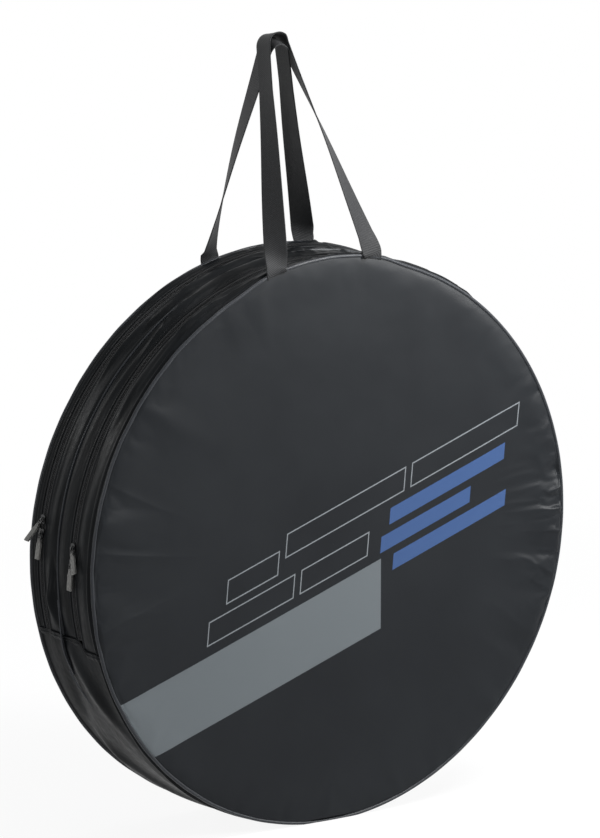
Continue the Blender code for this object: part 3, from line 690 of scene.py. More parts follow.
def strip_table(strip):
    """Give a strip's angles, its places across and its points before the solver runs."""
    near, far = strip["edges"]
    start, end = strip["span"]
    rows = round((end - start) * CLOTH_RADIUS / ROW_STEP)
    angles = np.linspace(start, end, rows)[:, None]
    across = columns_between(near, far)[None, :]
    lift = long_folds(angles, across, strip["seed"], strip["count"], strip["height"], strip["width"])
    puff = 1.4 * MM * edge_hold(across, near, far, (far - near) / 2)
    held = edge_hold(across, near, far, EDGE_MARGIN)
    from_end = np.minimum(angles - start, end - angles)
    ends = np.clip(from_end / END_MARGIN, 0, 1)
    if strip["span"] == TOP_SPAN:
        by_sliders = 1 - 0.8 * hump(angles, math.radians(-86), math.radians(7))
        near_hem = 1 - 0.85 * hump(np.abs(angles), ZIP_END, math.radians(3.5))
        lift = lift * by_sliders * near_hem + drawn_folds(angles, across, near, far, strip["seed"])
        if strip["kinds"] == ("seamed", "zipped"):
            lift = lift + fallen_fold(angles, across)
        lift = lift + crumpled(angles, across, near, far)
    else:
        puff = puff + 0.8 * MM * hump(from_end, 0.0, 0.018)
    form = edge_form(across - near, strip["kinds"][0]) + edge_form(far - across, strip["kinds"][1])
    radii = CLOTH_RADIUS + form + (lift * held + puff) * ends
    points = on_rim(sewn_angles(angles, across), radii, across)
    points[..., 2] += drawn_up(angles, across)
    return angles, across, points


tables = {name: strip_table(strip) for name, strip in STRIPS.items()}
print({name: table[2].shape[:2] for name, table in tables.items()})

# %% [markdown]
# The solver works on all the strips at once, as one loose mesh whose sewn edges are held. Each
# point may move only a few millimetres from where it began, so that the cloth keeps clear of its
# neighbours, and it stays where it was drawn beside the lower seams.

# %% Let cloth settle with Blender's solver


def settle(sheets, grow, pressure, stiffness, cap, frames):
    """Run the cloth solver over several sheets with sewn edges and return their settled points."""
    vertices, faces, held, offset = [], [], [], 0
    for points in sheets:
        rows, columns = points.shape[:2]
        index = np.arange(rows * columns).reshape(rows, columns) + offset
        faces.append(grid_faces(rows, columns) + offset)
        vertices.append(points.reshape(-1, 3))
        held += [index[0], index[-1], index[:, 0], index[:, -1]]
        offset += rows * columns
    vertices = np.concatenate(vertices)
    mesh = bpy.data.meshes.new("loose_cloth")
    mesh.from_pydata(vertices.tolist(), [], np.concatenate(faces).tolist())
    loose = add_piece("loose_cloth", mesh)
    group = loose.vertex_groups.new(name="sewn")
    group.add(np.unique(np.concatenate(held)).tolist(), 1.0, "REPLACE")
    solver = loose.modifiers.new("Cloth", "CLOTH")
    settings = solver.settings
    settings.quality = 6
    settings.mass = 0.25
    settings.tension_stiffness = 18
    settings.compression_stiffness = 18
    settings.shear_stiffness = 8
    settings.bending_stiffness = stiffness
    settings.air_damping = 2.0
    settings.vertex_group_mass = "sewn"
    settings.shrink_min = -grow
    settings.use_pressure = pressure > 0
    settings.uniform_pressure_force = pressure
    settings.effector_weights.gravity = 0.0
    solver.collision_settings.use_collision = False
    scene = bpy.context.scene
    for step in range(1, frames + 1):
        scene.frame_set(step)
    evaluated = loose.evaluated_get(bpy.context.evaluated_depsgraph_get())
    settled = np.empty(len(vertices) * 3, np.float32)
    evaluated.data.vertices.foreach_get("co", settled)
    moved = settled.reshape(-1, 3) - vertices
    length = np.linalg.norm(moved, axis=1, keepdims=True)
    moved *= np.minimum(1.0, cap / np.maximum(length, 1e-9))
    bpy.data.objects.remove(loose, do_unlink=True)
    scene.frame_set(1)
    print("settled", len(vertices), "points, moved up to", round(float(length.max()) / MM, 1), "mm, mean",
          round(float(length.mean()) / MM, 2), "mm")
    result, offset = [], 0
    for points in sheets:
        size = points.shape[0] * points.shape[1]
        result.append((vertices + moved)[offset:offset + size].reshape(points.shape))
        offset += size
    return result


CALM_END = 9 * MM
CALM_GROWTH = 14 * MM
strip_points = [table[2] for table in tables.values()]
settled = settle(strip_points, grow=0.045, pressure=0.0, stiffness=0.03, cap=4.5 * MM, frames=18)
for (angles, _, points), after in zip(tables.values(), settled):
    from_end = np.minimum(angles - angles[0], angles[-1] - angles)[..., None] * CLOTH_RADIUS
    calm = np.clip((from_end - CALM_END) / CALM_GROWTH, 0, 1)
    after[:] = points + (after - points) * calm
strip_points = settled


def fit(piece, slot, body, *replaced):
    """Hide the CAD nodes that a piece stands for, and let the piece go with its body.

    A piece of a cover is instead only fixed where it stands."""
    if replaced:
        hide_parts(*replaced)
    if body.endswith("_cover"):
        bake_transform(piece)
    else:
        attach(piece, body)


def body_of(strip_name):
    """Give the body that a strip of the rim goes with."""
    return strip_name.split("_")[0] + "_cover" if "cover" in strip_name else "bag"


for (name, (angles, across, _)), points in zip(tables.items(), strip_points):
    points[..., 2] = np.maximum(points[..., 2], 0.0)
    flat = side_by_side(angles * CLOTH_RADIUS, across)
    strip = cloth_piece(f"{name}_cloth", points, flat, rim_cloth, narrow["lining"], thickness=0.9 * MM)
    fit(strip, "gusset_cloth", body_of(name), name)
    print(name, "goes with", body_of(name))

# %% [markdown]
# ## Padded panels
#
# Each round panel is printed cloth over a thin sheet of foam, with a lining behind, all sewn into
# the piping at its edge. Such a pad is slightly crowned, falls away towards the seam, and puckers
# there, where the round edge of the cloth is gathered. The pad is one closed table of points, from
# the middle of its face over its edge to the middle of its back. The gathers are drawn first, most
# of them by the right edge. The solver then fills the outer ring with a little pressure, and its
# creases are kept mainly where the gathers are strong.

# %% Gathers round the pad's edge
PAD_ROWS = 720
FACE_RADII = np.concatenate([
    np.linspace(0.5, 190, 15), np.linspace(200, 325, 19), np.linspace(329, 361, 13),
    np.array([363, 365, 366.8, 368.4, 369.8, 370.8]),
]) * MM
EDGE_SHARES = np.array([0.75, 0.5, 0.25])
BACK_RADII = np.concatenate([[370.4, 369, 365], np.linspace(358, 0.5, 40)]) * MM


def around(count):
    """Give angles all the way round, from the foot over the top and back to the foot."""
    return np.linspace(-math.pi, math.pi, count)[:, None]


PAD_ANGLES = around(PAD_ROWS + 1)
PAD_ANGLES = PAD_ANGLES + 0.25 * np.sin(2 * PAD_ANGLES)


def on_disc(angles, radii, y, floor):
    """Give points of an upright disc whose foot is flattened at a floor of its own."""
    points = on_rim(angles, radii, y)
    points[..., 2] = np.maximum(points[..., 2], floor)
    return points


PUCKERS = (
    (92, 10, 18, (14, 34), (3.2, 6.5), (0.9, 2.4)),
    (110, 12, 12, (30, 80), (7, 12), (0.5, 1.1)),
    (68, 10, 8, (10, 22), (2.6, 5), (0.5, 1.2)),
    (-90, 16, 20, (40, 110), (7, 13), (0.6, 1.3)),
    (-118, 12, 10, (20, 60), (6, 10), (0.5, 1.0)),
    (0, 30, 5, (20, 50), (10, 16), (0.15, 0.35)),
    (150, 22, 8, (15, 40), (4, 9), (0.4, 0.9)),
    (-155, 22, 8, (15, 40), (4, 9), (0.4, 0.9)),
)
GATHERS = (
    (83.6, 15, 2.4, 0.1, 1.6), (86.0, 17, 2.6, -0.1, 1.9), (90.3, 34, 3.4, 0.05, 3.4),
    (95.0, 30, 3.0, 0.0, 2.6), (99.0, 18, 2.6, -0.1, 1.6), (104.5, 46, 6.0, 0.35, 1.7),
    (108.0, 38, 6.0, 0.3, 1.4), (79.0, 14, 2.6, 0.2, 1.2), (-70.0, 90, 7.0, 0.2, 1.2),
    (-84.0, 120, 8.0, 0.1, 1.4), (-101.0, 100, 8.0, -0.15, 1.3),
)


def gathers(angles, inward, seed):
    """Give how far the cloth stands out where its edge is gathered: ridges square to the edge.

    A row of GATHERS is one ridge: its angle, reach, width, slant and height. A row of PUCKERS is a
    group of chance ones: its angle and spread, how many, and the limits of reach, width and height.
    Angles are in degrees from the top and lengths in millimetres."""
    chance = np.random.default_rng(seed)
    total = np.zeros(np.broadcast_shapes(angles.shape, inward.shape))
    for degrees, reach, width, slant, depth in GATHERS:
        offset = np.abs((angles - math.radians(degrees)) * PANEL_RADIUS + slant * inward)
        run = hump(inward, 0.0, reach * MM) * np.clip(inward / (3 * MM), 0, 1)
        total += depth * MM * np.exp(-offset / (width * MM * (1 + 0.6 * inward / (reach * MM)))) * run
    for degrees, spread, count, reaches, widths, depths in PUCKERS:
        for _ in range(count):
            place = math.radians(chance.normal(degrees, spread))
            reach = chance.uniform(*reaches) * MM
            width = chance.uniform(*widths) * MM
            slant = chance.uniform(-0.35, 0.35)
            depth = chance.uniform(*depths) * MM * chance.choice([1.0, -0.8])
            offset = (angles - place) * PANEL_RADIUS + slant * inward
            run = hump(inward, 0.0, reach) * np.clip(inward / (4 * MM), 0, 1)
            total += depth * hump(offset, 0.0, width * (1 + inward / reach)) * run
    return total


print("gathers:", len(GATHERS), "drawn and", sum(row[2] for row in PUCKERS), "by chance")

# %% [markdown]
# The pad's table joins three bands of columns: the crowned face with its gathers, the rounded edge,
# and the plain back that the lining covers.

# %% Points of a round pad


def pad_points(face, back, crown, roll, radius, floor, seed, pucker):
    """Give a pad's closed table: its face, its rounded edge and its back, with y growing outwards."""
    scale = radius / PANEL_RADIUS
    face_radii = (FACE_RADII * scale)[None, :]
    inward = radius - face_radii
    swell = crown * (1 - (face_radii / radius) ** 2) - roll * np.exp(-inward / (7 * MM))
    out = face + swell + pucker * gathers(PAD_ANGLES, inward, seed)
    out[-1] = out[0]
    edge_y = EDGE_SHARES[None, :] * (face - roll - back) + back
    front = on_disc(PAD_ANGLES, face_radii, out, floor)
    edge = on_disc(PAD_ANGLES, np.full((1, len(EDGE_SHARES)), radius), edge_y, floor)
    rear = on_disc(PAD_ANGLES, (BACK_RADII * scale)[None, :], back, floor)
    return np.concatenate([front, edge, rear], axis=1)


print("a pad has", PAD_ROWS, "by", len(FACE_RADII) + len(EDGE_SHARES) + len(BACK_RADII), "points")

# %% Weld a pad's table into one closed form
DRAWN_FROM = 300 * MM
DRAWN_GROWTH = 70 * MM


def pad_mesh(name, points, side):
    """Make a closed mesh from a pad's table, with the lining's material on its back."""
    placed = points.copy()
    placed[..., 1] *= side
    from_axis = np.hypot(placed[..., 0], placed[..., 2] - CENTRE_Z)
    by_edge = np.clip((from_axis - DRAWN_FROM) / DRAWN_GROWTH, 0, 1)
    turned = np.arctan2(placed[..., 0], placed[..., 2] - CENTRE_Z)
    placed[..., 2] += by_edge * drawn_up(turned, placed[..., 1])
    if side > 0:
        placed = placed[::-1]
    mesh = sheet_mesh(name, placed, placed[..., [0, 2]])
    slots = np.zeros((points.shape[0] - 1, points.shape[1] - 1), np.int32)
    slots[:, points.shape[1] - len(BACK_RADII):] = 1
    mesh.polygons.foreach_set("material_index", slots.ravel())
    return weld(mesh, 0.02 * MM)


panel_tables = [
    pad_points(
        face=73.2 * MM, back=65.0 * MM, crown=2.6 * MM, roll=1.9 * MM,
        radius=PANEL_RADIUS, floor=3.8 * MM, seed=seed, pucker=1.0,
    )
    for seed in (3, 8)
]
SOLVED_FROM = 199 * MM
SHOWN_FROM = 255 * MM
SHOWN_GROWTH = 85 * MM
solved = slice(int(np.searchsorted(FACE_RADII, SOLVED_FROM)), len(FACE_RADII))
rings = [table[:, solved] for table in panel_tables]
settled = settle(rings, grow=0.006, pressure=0.8, stiffness=0.6, cap=2.2 * MM, frames=14)
calm = np.clip((FACE_RADII[solved] - SHOWN_FROM) / SHOWN_GROWTH, 0, 1)[None, :, None]
turned = np.degrees(PAD_ANGLES)[..., None]
calm = calm * (0.12 + 0.88 * hump(turned, 96, 24) + 0.35 * hump(turned, -95, 35))
for table, ring in zip(panel_tables, settled):
    table[:, solved] += (ring - table[:, solved]) * calm
    table[-1] = table[0]

# %% Front and rear panels
for side_name, table in zip(SIDES, panel_tables):
    mesh = pad_mesh(f"{side_name}_padded_panel", table, SIDES[side_name])
    outside = front_cloth if side_name == "front" else rear_cloth
    panel = add_piece(f"{side_name}_padded_panel", mesh, outside, narrow["lining"])
    layers = [
        f"{side_name}_{layer}_{half}"
        for layer in ("panel", "foam", "lining") for half in ("upper", "lower")
    ]
    fit(panel, "panel_cloth", f"{side_name}_cover", *layers)
    print(panel.name, len(mesh.polygons), "faces")

# %% [markdown]
# ## Divider and hub patches
#
# Between the wheels hangs a padded wall, lined on both faces. On each face, and on each panel's
# lining, a round patch of tough cloth takes the rub of a wheel's hub. A patch is a plain disc whose
# edge is turned under and sewn, so it has a raised rim with a groove of stitching inside it.

# %% Divider wall
divider_table = pad_points(
    face=3.1 * MM, back=-3.1 * MM, crown=0.0, roll=0.8 * MM,
    radius=371.4 * MM, floor=2.0 * MM, seed=15, pucker=0.5,
)
divider_mesh = pad_mesh("padded_divider", divider_table, -1)
divider = add_piece("padded_divider", divider_mesh, narrow["lining"], narrow["lining"])
divider.location.y = SEAM_Y
fit(divider, "lining", "bag", "divider_foam", "divider_cover_front", "divider_cover_rear")
print("divider", len(divider_mesh.polygons), "faces")

# %% Hub patches
# each ring's radius and how far it stands off the lining
PATCH_RINGS = np.array([0.02, 8, 16, 24, 32, 40, 47, 53, 54.6, 55.6, 56.6, 58, 59.3, 60]) * MM
PATCH_LIFT = np.array([0.3, 0.3, 0.3, 0.3, 0.33, 0.37, 0.4, 0.5, 0.45, 0.1, 0.45, 0.6, 0.45, 0.0]) * MM
PATCHES = {
    "front_hub_patch": (-64.4 * MM, 1, "front_cover"),
    "rear_hub_patch": (64.4 * MM, -1, "rear_cover"),
    "divider_hub_patch_front": (SEAM_Y - 3.6 * MM, -1, "bag"),
    "divider_hub_patch_rear": (SEAM_Y + 3.6 * MM, 1, "bag"),
}
for node, (y, side, body) in PATCHES.items():
    angles = around(73)
    waves = np.random.default_rng(len(node)).integers(5, 9)
    ripple = 0.12 * MM * np.sin(angles * waves) * (PATCH_RINGS / PATCH_RINGS.max()) ** 2
    points = on_disc(angles, PATCH_RINGS, y + side * (PATCH_LIFT + ripple), 0.0)[::-side]
    patch = cloth_piece(f"{node}_sewn", points, points[..., [0, 2]], narrow["patch"], thickness=0.5 * MM)
    fit(patch, "hub_patch", body, node)
print(len(PATCHES), "hub patches sewn on")

# %% [markdown]
# ## Piping
#
# The panel's edge is bound with a cord in a bias strip. It is a tube round the whole panel, with a
# slight waver, since a sewn cord is never quite true. Beside it the rim cloth already has a ridge
# and a groove, and together they show the double line that such an edge has.

# %% Bound piping round each panel
CORD_RADIUS = 372.4 * MM
CORD_Y = 70.5 * MM
CORD_THICKNESS = 2.35 * MM
cord_angles = around(481)
cord_turns = np.linspace(0, 2 * math.pi, 13)[None, :]
for side_name, side in SIDES.items():
    chance = np.random.default_rng(4 if side < 0 else 5)
    waver = sum(
        chance.uniform(0.06, 0.2) * MM * np.sin(cord_angles * count + chance.uniform(0, 6.3))
        for count in (7, 16, 29, 53)
    )
    waver[-1] = waver[0]
    radii = CORD_RADIUS + 0.4 * waver + CORD_THICKNESS * np.cos(cord_turns)
    points = on_rim(cord_angles, radii, side * CORD_Y + waver + CORD_THICKNESS * np.sin(cord_turns))
    points[..., 2] += drawn_up(cord_angles, side * CORD_Y)
    flats = side_by_side(cord_angles * BAG_RADIUS, cord_turns * CORD_THICKNESS)
    cord = cloth_piece(f"{side_name}_bound_piping", points, flats, narrow["binding"])
    halves = (f"{side_name}_piping_upper", f"{side_name}_piping_lower")
    fit(cord, "piping", f"{side_name}_cover", *halves)
print("two lengths of piping bound")

# %% [markdown]
# ## Centre seam
#
# The seam over the divider stands up as a narrow welt with a dark line beside it. Past the sewn end
# of the opening its seam allowance isn't held down, so it stands out as a small curved flap, and
# below that only a stitched line is left.

# %% Welt over the divider's seam


def profile_band(name, angles, profile, material, *replaced):
    """Run a profile of offsets and radii round the rim as a strip of the bag's own."""
    points = on_rim(angles, profile[..., 1], profile[..., 0])
    steps = np.diff(profile, axis=-2, prepend=profile[..., :1, :])
    reach = np.cumsum(np.linalg.norm(steps, axis=-1), axis=-1)
    band = cloth_piece(name, points, side_by_side(angles * BAG_RADIUS, reach), material)
    fit(band, "piping", "bag", *replaced)


ENDS = (("left", -1), ("right", 1))
WELT_OFFSETS = np.array([-1.3, -1.1, -0.7, 0.0, 0.7, 1.1, 1.3]) * MM
WELT_RISE = np.array([-1.2, 0.4, 1.4, 1.9, 1.4, 0.4, -1.2]) * MM
angles = np.linspace(-ZIP_END, ZIP_END, 420)[:, None]
sway = 0.5 * MM * np.sin(angles * 9.0) + 0.35 * MM * np.sin(angles * 21.0 + 1.0)
rise = WELT_RISE * (1 + 0.12 * np.sin(angles * 13))
profile = side_by_side(SEAM_Y + WELT_OFFSETS + sway, CLOTH_RADIUS - 0.6 * MM + rise)
profile_band("centre_welt_sewn", angles, profile, narrow["binding"], "centre_welt")
print("welt sewn over the seam")

# %% Flap at the welt's end
share = np.linspace(0, 1, 40)[:, None]
height = np.linspace(0, 1, 7)[None, :]
for name, sign in ENDS:
    angles = sign * math.radians(1.0) * (96.0 + 16.5 * share) * np.ones_like(height)
    stand = (2.2 + 5.4 * np.sin(np.pi * share ** 1.3) ** 1.5) * MM
    middle = SEAM_Y + (1.0 + 3.5 * share - 6.0 * share * (1 - share)) * MM
    lean = -2.6 * MM * np.sin(np.pi * share) * height ** 2
    points = on_rim(angles, CLOTH_RADIUS - 0.8 * MM + stand * height, middle + lean)
    flats = side_by_side(share * 0.1, height * 0.008)
    # The flap is made of the paler lining cloth, which stands in for the highlight along its fold: a painted
    # highlight.
    flap = cloth_piece(f"{name}_seam_flap", points, flats, narrow["lining"], thickness=1.3 * MM, growth=0.0)
    fit(flap, "gusset_cloth", "bag")

TAIL_OFFSETS = np.linspace(-1.2, 1.2, 5)[None, :] * MM
TAIL_RISE = np.array([-0.9, 0.6, 1.0, 0.6, -0.9])[None, :] * MM
for name, sign in ENDS:
    angles = sign * np.radians(111.5 + 8.5 * share)
    line_y = (18.4 - 18.1 * share ** 1.2) * MM
    rise = TAIL_RISE * (1 - 0.75 * share)
    profile = side_by_side(line_y + TAIL_OFFSETS, CLOTH_RADIUS + 1.6 * MM + rise)
    # The stitched line is made of the paler lining cloth too, a painted highlight along the seam.
    profile_band(f"{name}_seam_tail", angles, profile, narrow["lining"])
print("two seam flaps and the stitched lines below them")

# %% [markdown]
# ## Lower seams
#
# Where the opening ends, the narrow strips are sewn to the wide strip that goes under the bag. The
# wide strip's edge is folded under, so it makes two low ridges across the rim, each with a row of
# stitches. In front of the front zip the seam steps down a little, and beside each zip the hem is
# pressed flatter, which leaves room for the sliders.

# %% Hems across the rim
HEM_COLUMNS = np.array([-0.2, 0.2, 0.9, 1.7, 2.3, 2.8, 3.6, 4.4, 5.2, 6.1, 7.0, 8.0, 9.2, 10.4])[None, :] * MM
HEM_RISE = np.array([-1.4, 0.7, 1.5, 1.5, 0.8, 0.4, 0.8, 1.4, 1.4, 0.9, 0.6, 0.4, 0.1, -1.2])[None, :] * MM
HEM_HALF = 68.6 * MM
ZIP_ROOM = 0.75
ZIP_ROOM_WIDTH = 7 * MM


def pressed_flat(y):
    """Give how much a hem is pressed flat beside the zips."""
    return ZIP_ROOM * sum(hump(y, zip_y, ZIP_ROOM_WIDTH) for zip_y in ZIP_Y.values())


y = np.linspace(-HEM_HALF, HEM_HALF, 92)[:, None]
for name, sign in ENDS:
    angles = sign * (hem_angle(y) + HEM_COLUMNS / BAG_RADIUS)
    chance = np.random.default_rng(17)
    pucker = 0.12 * MM * sum(
        np.sin(y * chance.uniform(250, 900) + chance.uniform(0, 6.3)) for _ in range(4)
    )
    side_fall = edge_hold(y, -HEM_HALF, HEM_HALF, EDGE_MARGIN)
    stand = (0.35 + 0.65 * side_fall) * (1 - pressed_flat(y))
    ridges = (HEM_RISE + pucker * (HEM_RISE > 0)) * stand
    base = CLOTH_RADIUS - 0.3 * MM + 1.1 * MM * (side_fall - pressed_flat(y))
    points = on_rim(angles, base + ridges, y)[::-sign]
    hem = cloth_piece(f"{name}_hem", points, side_by_side(HEM_COLUMNS, y), rim_cloth)
    fit(hem, "gusset_cloth", "bag")
print("two hems folded")

# %% [markdown]
# ## Zips
#
# A coil zip has two woven tapes, and on each one a nylon line wound into a row of loops that lock
# into the other row. Real loops stand about 1.3 mm apart, which is less than a pixel here, so they
# are drawn 2.4 mm apart to show. Each tape reaches a little way under its coil, so that no light
# comes through between the loops. Each half goes with the cloth that it is sewn to.

# %% Tapes and coils
TAPE_ACROSS = np.array([0.05, 1.2, 2.5, 3.5, 5.5, 8.3, 11.2]) * MM
TAPE_RISE = np.array([-0.65, -0.65, -0.5, 0.2, 0.3, 0.3, 0.3]) * MM
LOOP_PITCH = 2.4 * MM
LOOP_ACROSS = np.array([0.35, 0.7, 2.2, 3.1])[None, :, None] * MM
LOOP_SIZE = np.array([0.45, 0.78, 0.85, 0.5])[None, :, None] * MM
LOOP_HEIGHT_SHARE = 1.15


def sections_mesh(name, sections):
    """Make closed beads from an array of beads by rings by corners."""
    beads, rings, corners = sections.shape[:3]
    size = rings * corners
    faces = [
        [ring + corner, ring + beyond, ring + corners + beyond, ring + corners + corner]
        for ring in range(0, size - corners, corners)
        for corner, beyond in zip(range(corners), [*range(1, corners), 0])
    ]
    starts = np.arange(beads)[:, None] * size
    quads = (np.array(faces)[None, :, :] + starts[:, :, None]).reshape(-1, 4).tolist()
    near = (np.arange(corners)[::-1] + starts).tolist()
    far = (np.arange(corners) + size - corners + starts).tolist()
    mesh = bpy.data.meshes.new(name)
    mesh.from_pydata(sections.reshape(-1, 3).tolist(), [], quads + near + far)
    centres = sections.mean(axis=2)
    steps = np.linalg.norm(np.diff(centres, axis=1, prepend=centres[:, :1]), axis=-1)
    flats = side_by_side(np.cumsum(steps, axis=1)[:, :, None], np.arange(corners) * 0.4 * MM).reshape(-1, 2)
    ends = np.empty(len(mesh.loops), np.int32)
    mesh.loops.foreach_get("vertex_index", ends)
    mesh.uv_layers.new(name="UVMap").data.foreach_set("uv", flats[ends].astype(np.float32).ravel())
    mesh.shade_smooth()
    return mesh


tape_angles = np.linspace(-ZIP_END, ZIP_END, 360)[:, None]
loop_count = int(2 * ZIP_END * ZIP_RADIUS / LOOP_PITCH)
loop_turns = (np.arange(6) * math.pi / 3)[None, None, :]
for side_name, side in SIDES.items():
    for half, away, body in (("outer", side, f"{side_name}_cover"), ("inner", -side, "bag")):
        across = TAPE_ACROSS[None, :]
        ripple = 0.15 * MM * np.sin(tape_angles * 40 + away) * across / TAPE_ACROSS[-1]
        radii = ZIP_RADIUS + TAPE_RISE + ripple
        points = on_rim(tape_angles, radii, ZIP_Y[side_name] + away * across)
        if away < 0:
            points = points[:, ::-1]
        flats = side_by_side(tape_angles * ZIP_RADIUS, across)
        name = f"{side_name}_{half}_woven_tape"
        tape = cloth_piece(name, points, flats, narrow["tape"], thickness=0.7 * MM)
        fit(tape, "zip_tape", body, f"{side_name}_{half}_tape")
        begin = 0.5 if half == "outer" else 0.25
        middles = -ZIP_END + (np.arange(loop_count) + begin) * LOOP_PITCH / ZIP_RADIUS
        loops = on_rim(
            middles[:, None, None] + LOOP_SIZE * np.cos(loop_turns) / ZIP_RADIUS,
            ZIP_RADIUS + LOOP_HEIGHT_SHARE * LOOP_SIZE * np.sin(loop_turns),
            ZIP_Y[side_name] + away * LOOP_ACROSS,
        )
        name = f"{side_name}_{half}_coil"
        coil = add_piece(name, sections_mesh(name, loops), coil_nylon)
        fit(coil, "zip_coil", body, f"{side_name}_{half}_teeth")
print("four tapes and four coils of", loop_count, "loops")

# %% [markdown]
# The sliders and pullers keep their CAD shapes, which are exact. A bevel rounds their cast edges.
# Each ribbon tab is a folded strip: down one side, round the puller's end bar, and back.

# %% Sliders and pullers
for name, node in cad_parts.items():
    if name.endswith(("_slider", "_puller")):
        node.data.materials.clear()
        node.data.materials.append(slider_zinc)
        rounded = node.modifiers.new("Cast edges", "BEVEL")
        rounded.width = 0.18 * MM
        rounded.segments = 2
        rounded.limit_method = "ANGLE"
        print(name, "painted")

# %% Ribbon tabs
BAR_RADIUS = 377.1 * MM
END_BAR = 8.2 * MM
# each pull's angle from the top, its lift off the rim and its skew, in degrees
PULLS = {
    "front_upper": (-84.3, 5.0, 25.0), "front_lower": (-87.5, 2.0, 0.0),
    "rear_upper": (-80.8, 35.0, 0.0), "rear_lower": (-83.5, 2.0, 0.0),
}
BAR_LOOP = 1.45 * MM
LEG_HEIGHT = 0.62 * MM
LEG_START = 11.2 * MM
LEG_END = 34.6 * MM
bar_turns = np.radians(np.linspace(60, 300, 13))
bar_loop = side_by_side(END_BAR + BAR_LOOP * np.cos(bar_turns), BAR_LOOP * np.sin(bar_turns))
grip_x = np.linspace(LEG_START, LEG_END, 16)
tab_path = np.concatenate([
    side_by_side(grip_x[::-1], LEG_HEIGHT), bar_loop, side_by_side(grip_x, -LEG_HEIGHT),
])
tab_half = np.where(tab_path[:, 0] > 12.5 * MM, 4.7, 2.35) * MM
tab_half[np.abs(tab_path[:, 0] - LEG_START) < 1.7 * MM] = 3.6 * MM
for name, (angle, lift, skew) in PULLS.items():
    across = np.linspace(-1, 1, 7)[None, :]
    y = across * tab_half[:, None]
    x, height = tab_path[:, :1], tab_path[:, 1:]
    plump = 0.22 * MM * (1 - across ** 4) * np.sign(height) * (x > 12 * MM)
    bow = 0.9 * MM * np.clip((x - 14 * MM) / (20 * MM), 0, 1) ** 2 * math.sin(angle * 7)
    steps = np.diff(tab_path, axis=0, prepend=tab_path[:1])
    run = np.cumsum(np.linalg.norm(steps, axis=1))[:, None]
    ribbon = cloth_piece(
        f"{name}_ribbon_tab", side_by_side(x, y, height + plump + bow), side_by_side(run, y),
        narrow["ribbon"], thickness=0.8 * MM, growth=0.0,
    )
    ribbon.data.transform(
        Matrix.Translation((0, ZIP_Y[name.split("_")[0]], CENTRE_Z))
        @ Matrix.Rotation(math.radians(angle), 4, "Y") @ Matrix.Translation((0, 0, BAR_RADIUS))
        @ Matrix.Rotation(math.pi + math.radians(skew), 4, "Z")
        @ Matrix.Rotation(-math.radians(lift), 4, "Y")
    )
    fit(ribbon, "pull_tab", f"{name}_pull", f"{name}_tab")
print("four ribbon tabs folded")

# %% [markdown]
# ## Webbing handles
#
# Each handle is one length of 30 mm webbing, flat where it is sewn into the edge and turned on edge
# at the top, where it bends over a hand. Its path is close to the CAD strap's, with a little more bow
# and the front one's feet drawn up with the panel's edge. The webbing is bowed very slightly across
# its width and its two woven edges are a little thicker.

# %% Path of one strap
WEBBING_WIDTH = 30 * MM
WEBBING_THICKNESS = 1.6 * MM
LOOP_APEX = Vector((-41.5 * MM, 1.5 * MM, 0))
STRAPS = {
    "front": {
        "top": 1039.5 * MM, "radius": 16.5 * MM,
        "turns": {-1: (0.80, 0.45, 24), 1: (1.12, 0.75, 24)},
        "feet": {-1: -13.5, 1: 9.8}, "bow": {-1: 0.0, 1: 2.5 * MM},
    },
    "rear": {
        "top": 1031.0 * MM, "radius": 13.0 * MM,
        "turns": {-1: (1.0, 0.43, 8), 1: (0.80, 0.35, 24)},
        "feet": {-1: -14.2, 1: 8.8}, "bow": {-1: 5.0 * MM, 1: 0.0},
    },
}
TUCKED = ((366.0 * MM, 70.4 * MM), (369.0 * MM, 71.5 * MM), (372.0 * MM, 72.6 * MM))
FLAT_LENGTH = 4 * MM
CLEAR_OF_FOOT = 6 * MM


def at_rim(angle, radius, y):
    """Give a point at an angle from the top."""
    return Vector((radius * math.sin(angle), y, CENTRE_Z + radius * math.cos(angle)))


def in_loop(leg, strap, turn, upward):
    """Give the way from the loop's middle to its ring, at a turn away from its top."""
    level = Vector((leg * math.sin(turn), 0, 0))
    return (level + upward * math.cos(turn)) * strap["radius"]


def square_to(along, across):
    """Turn a direction so that it stands square to another one."""
    return (across - along * across.dot(along)).normalized()


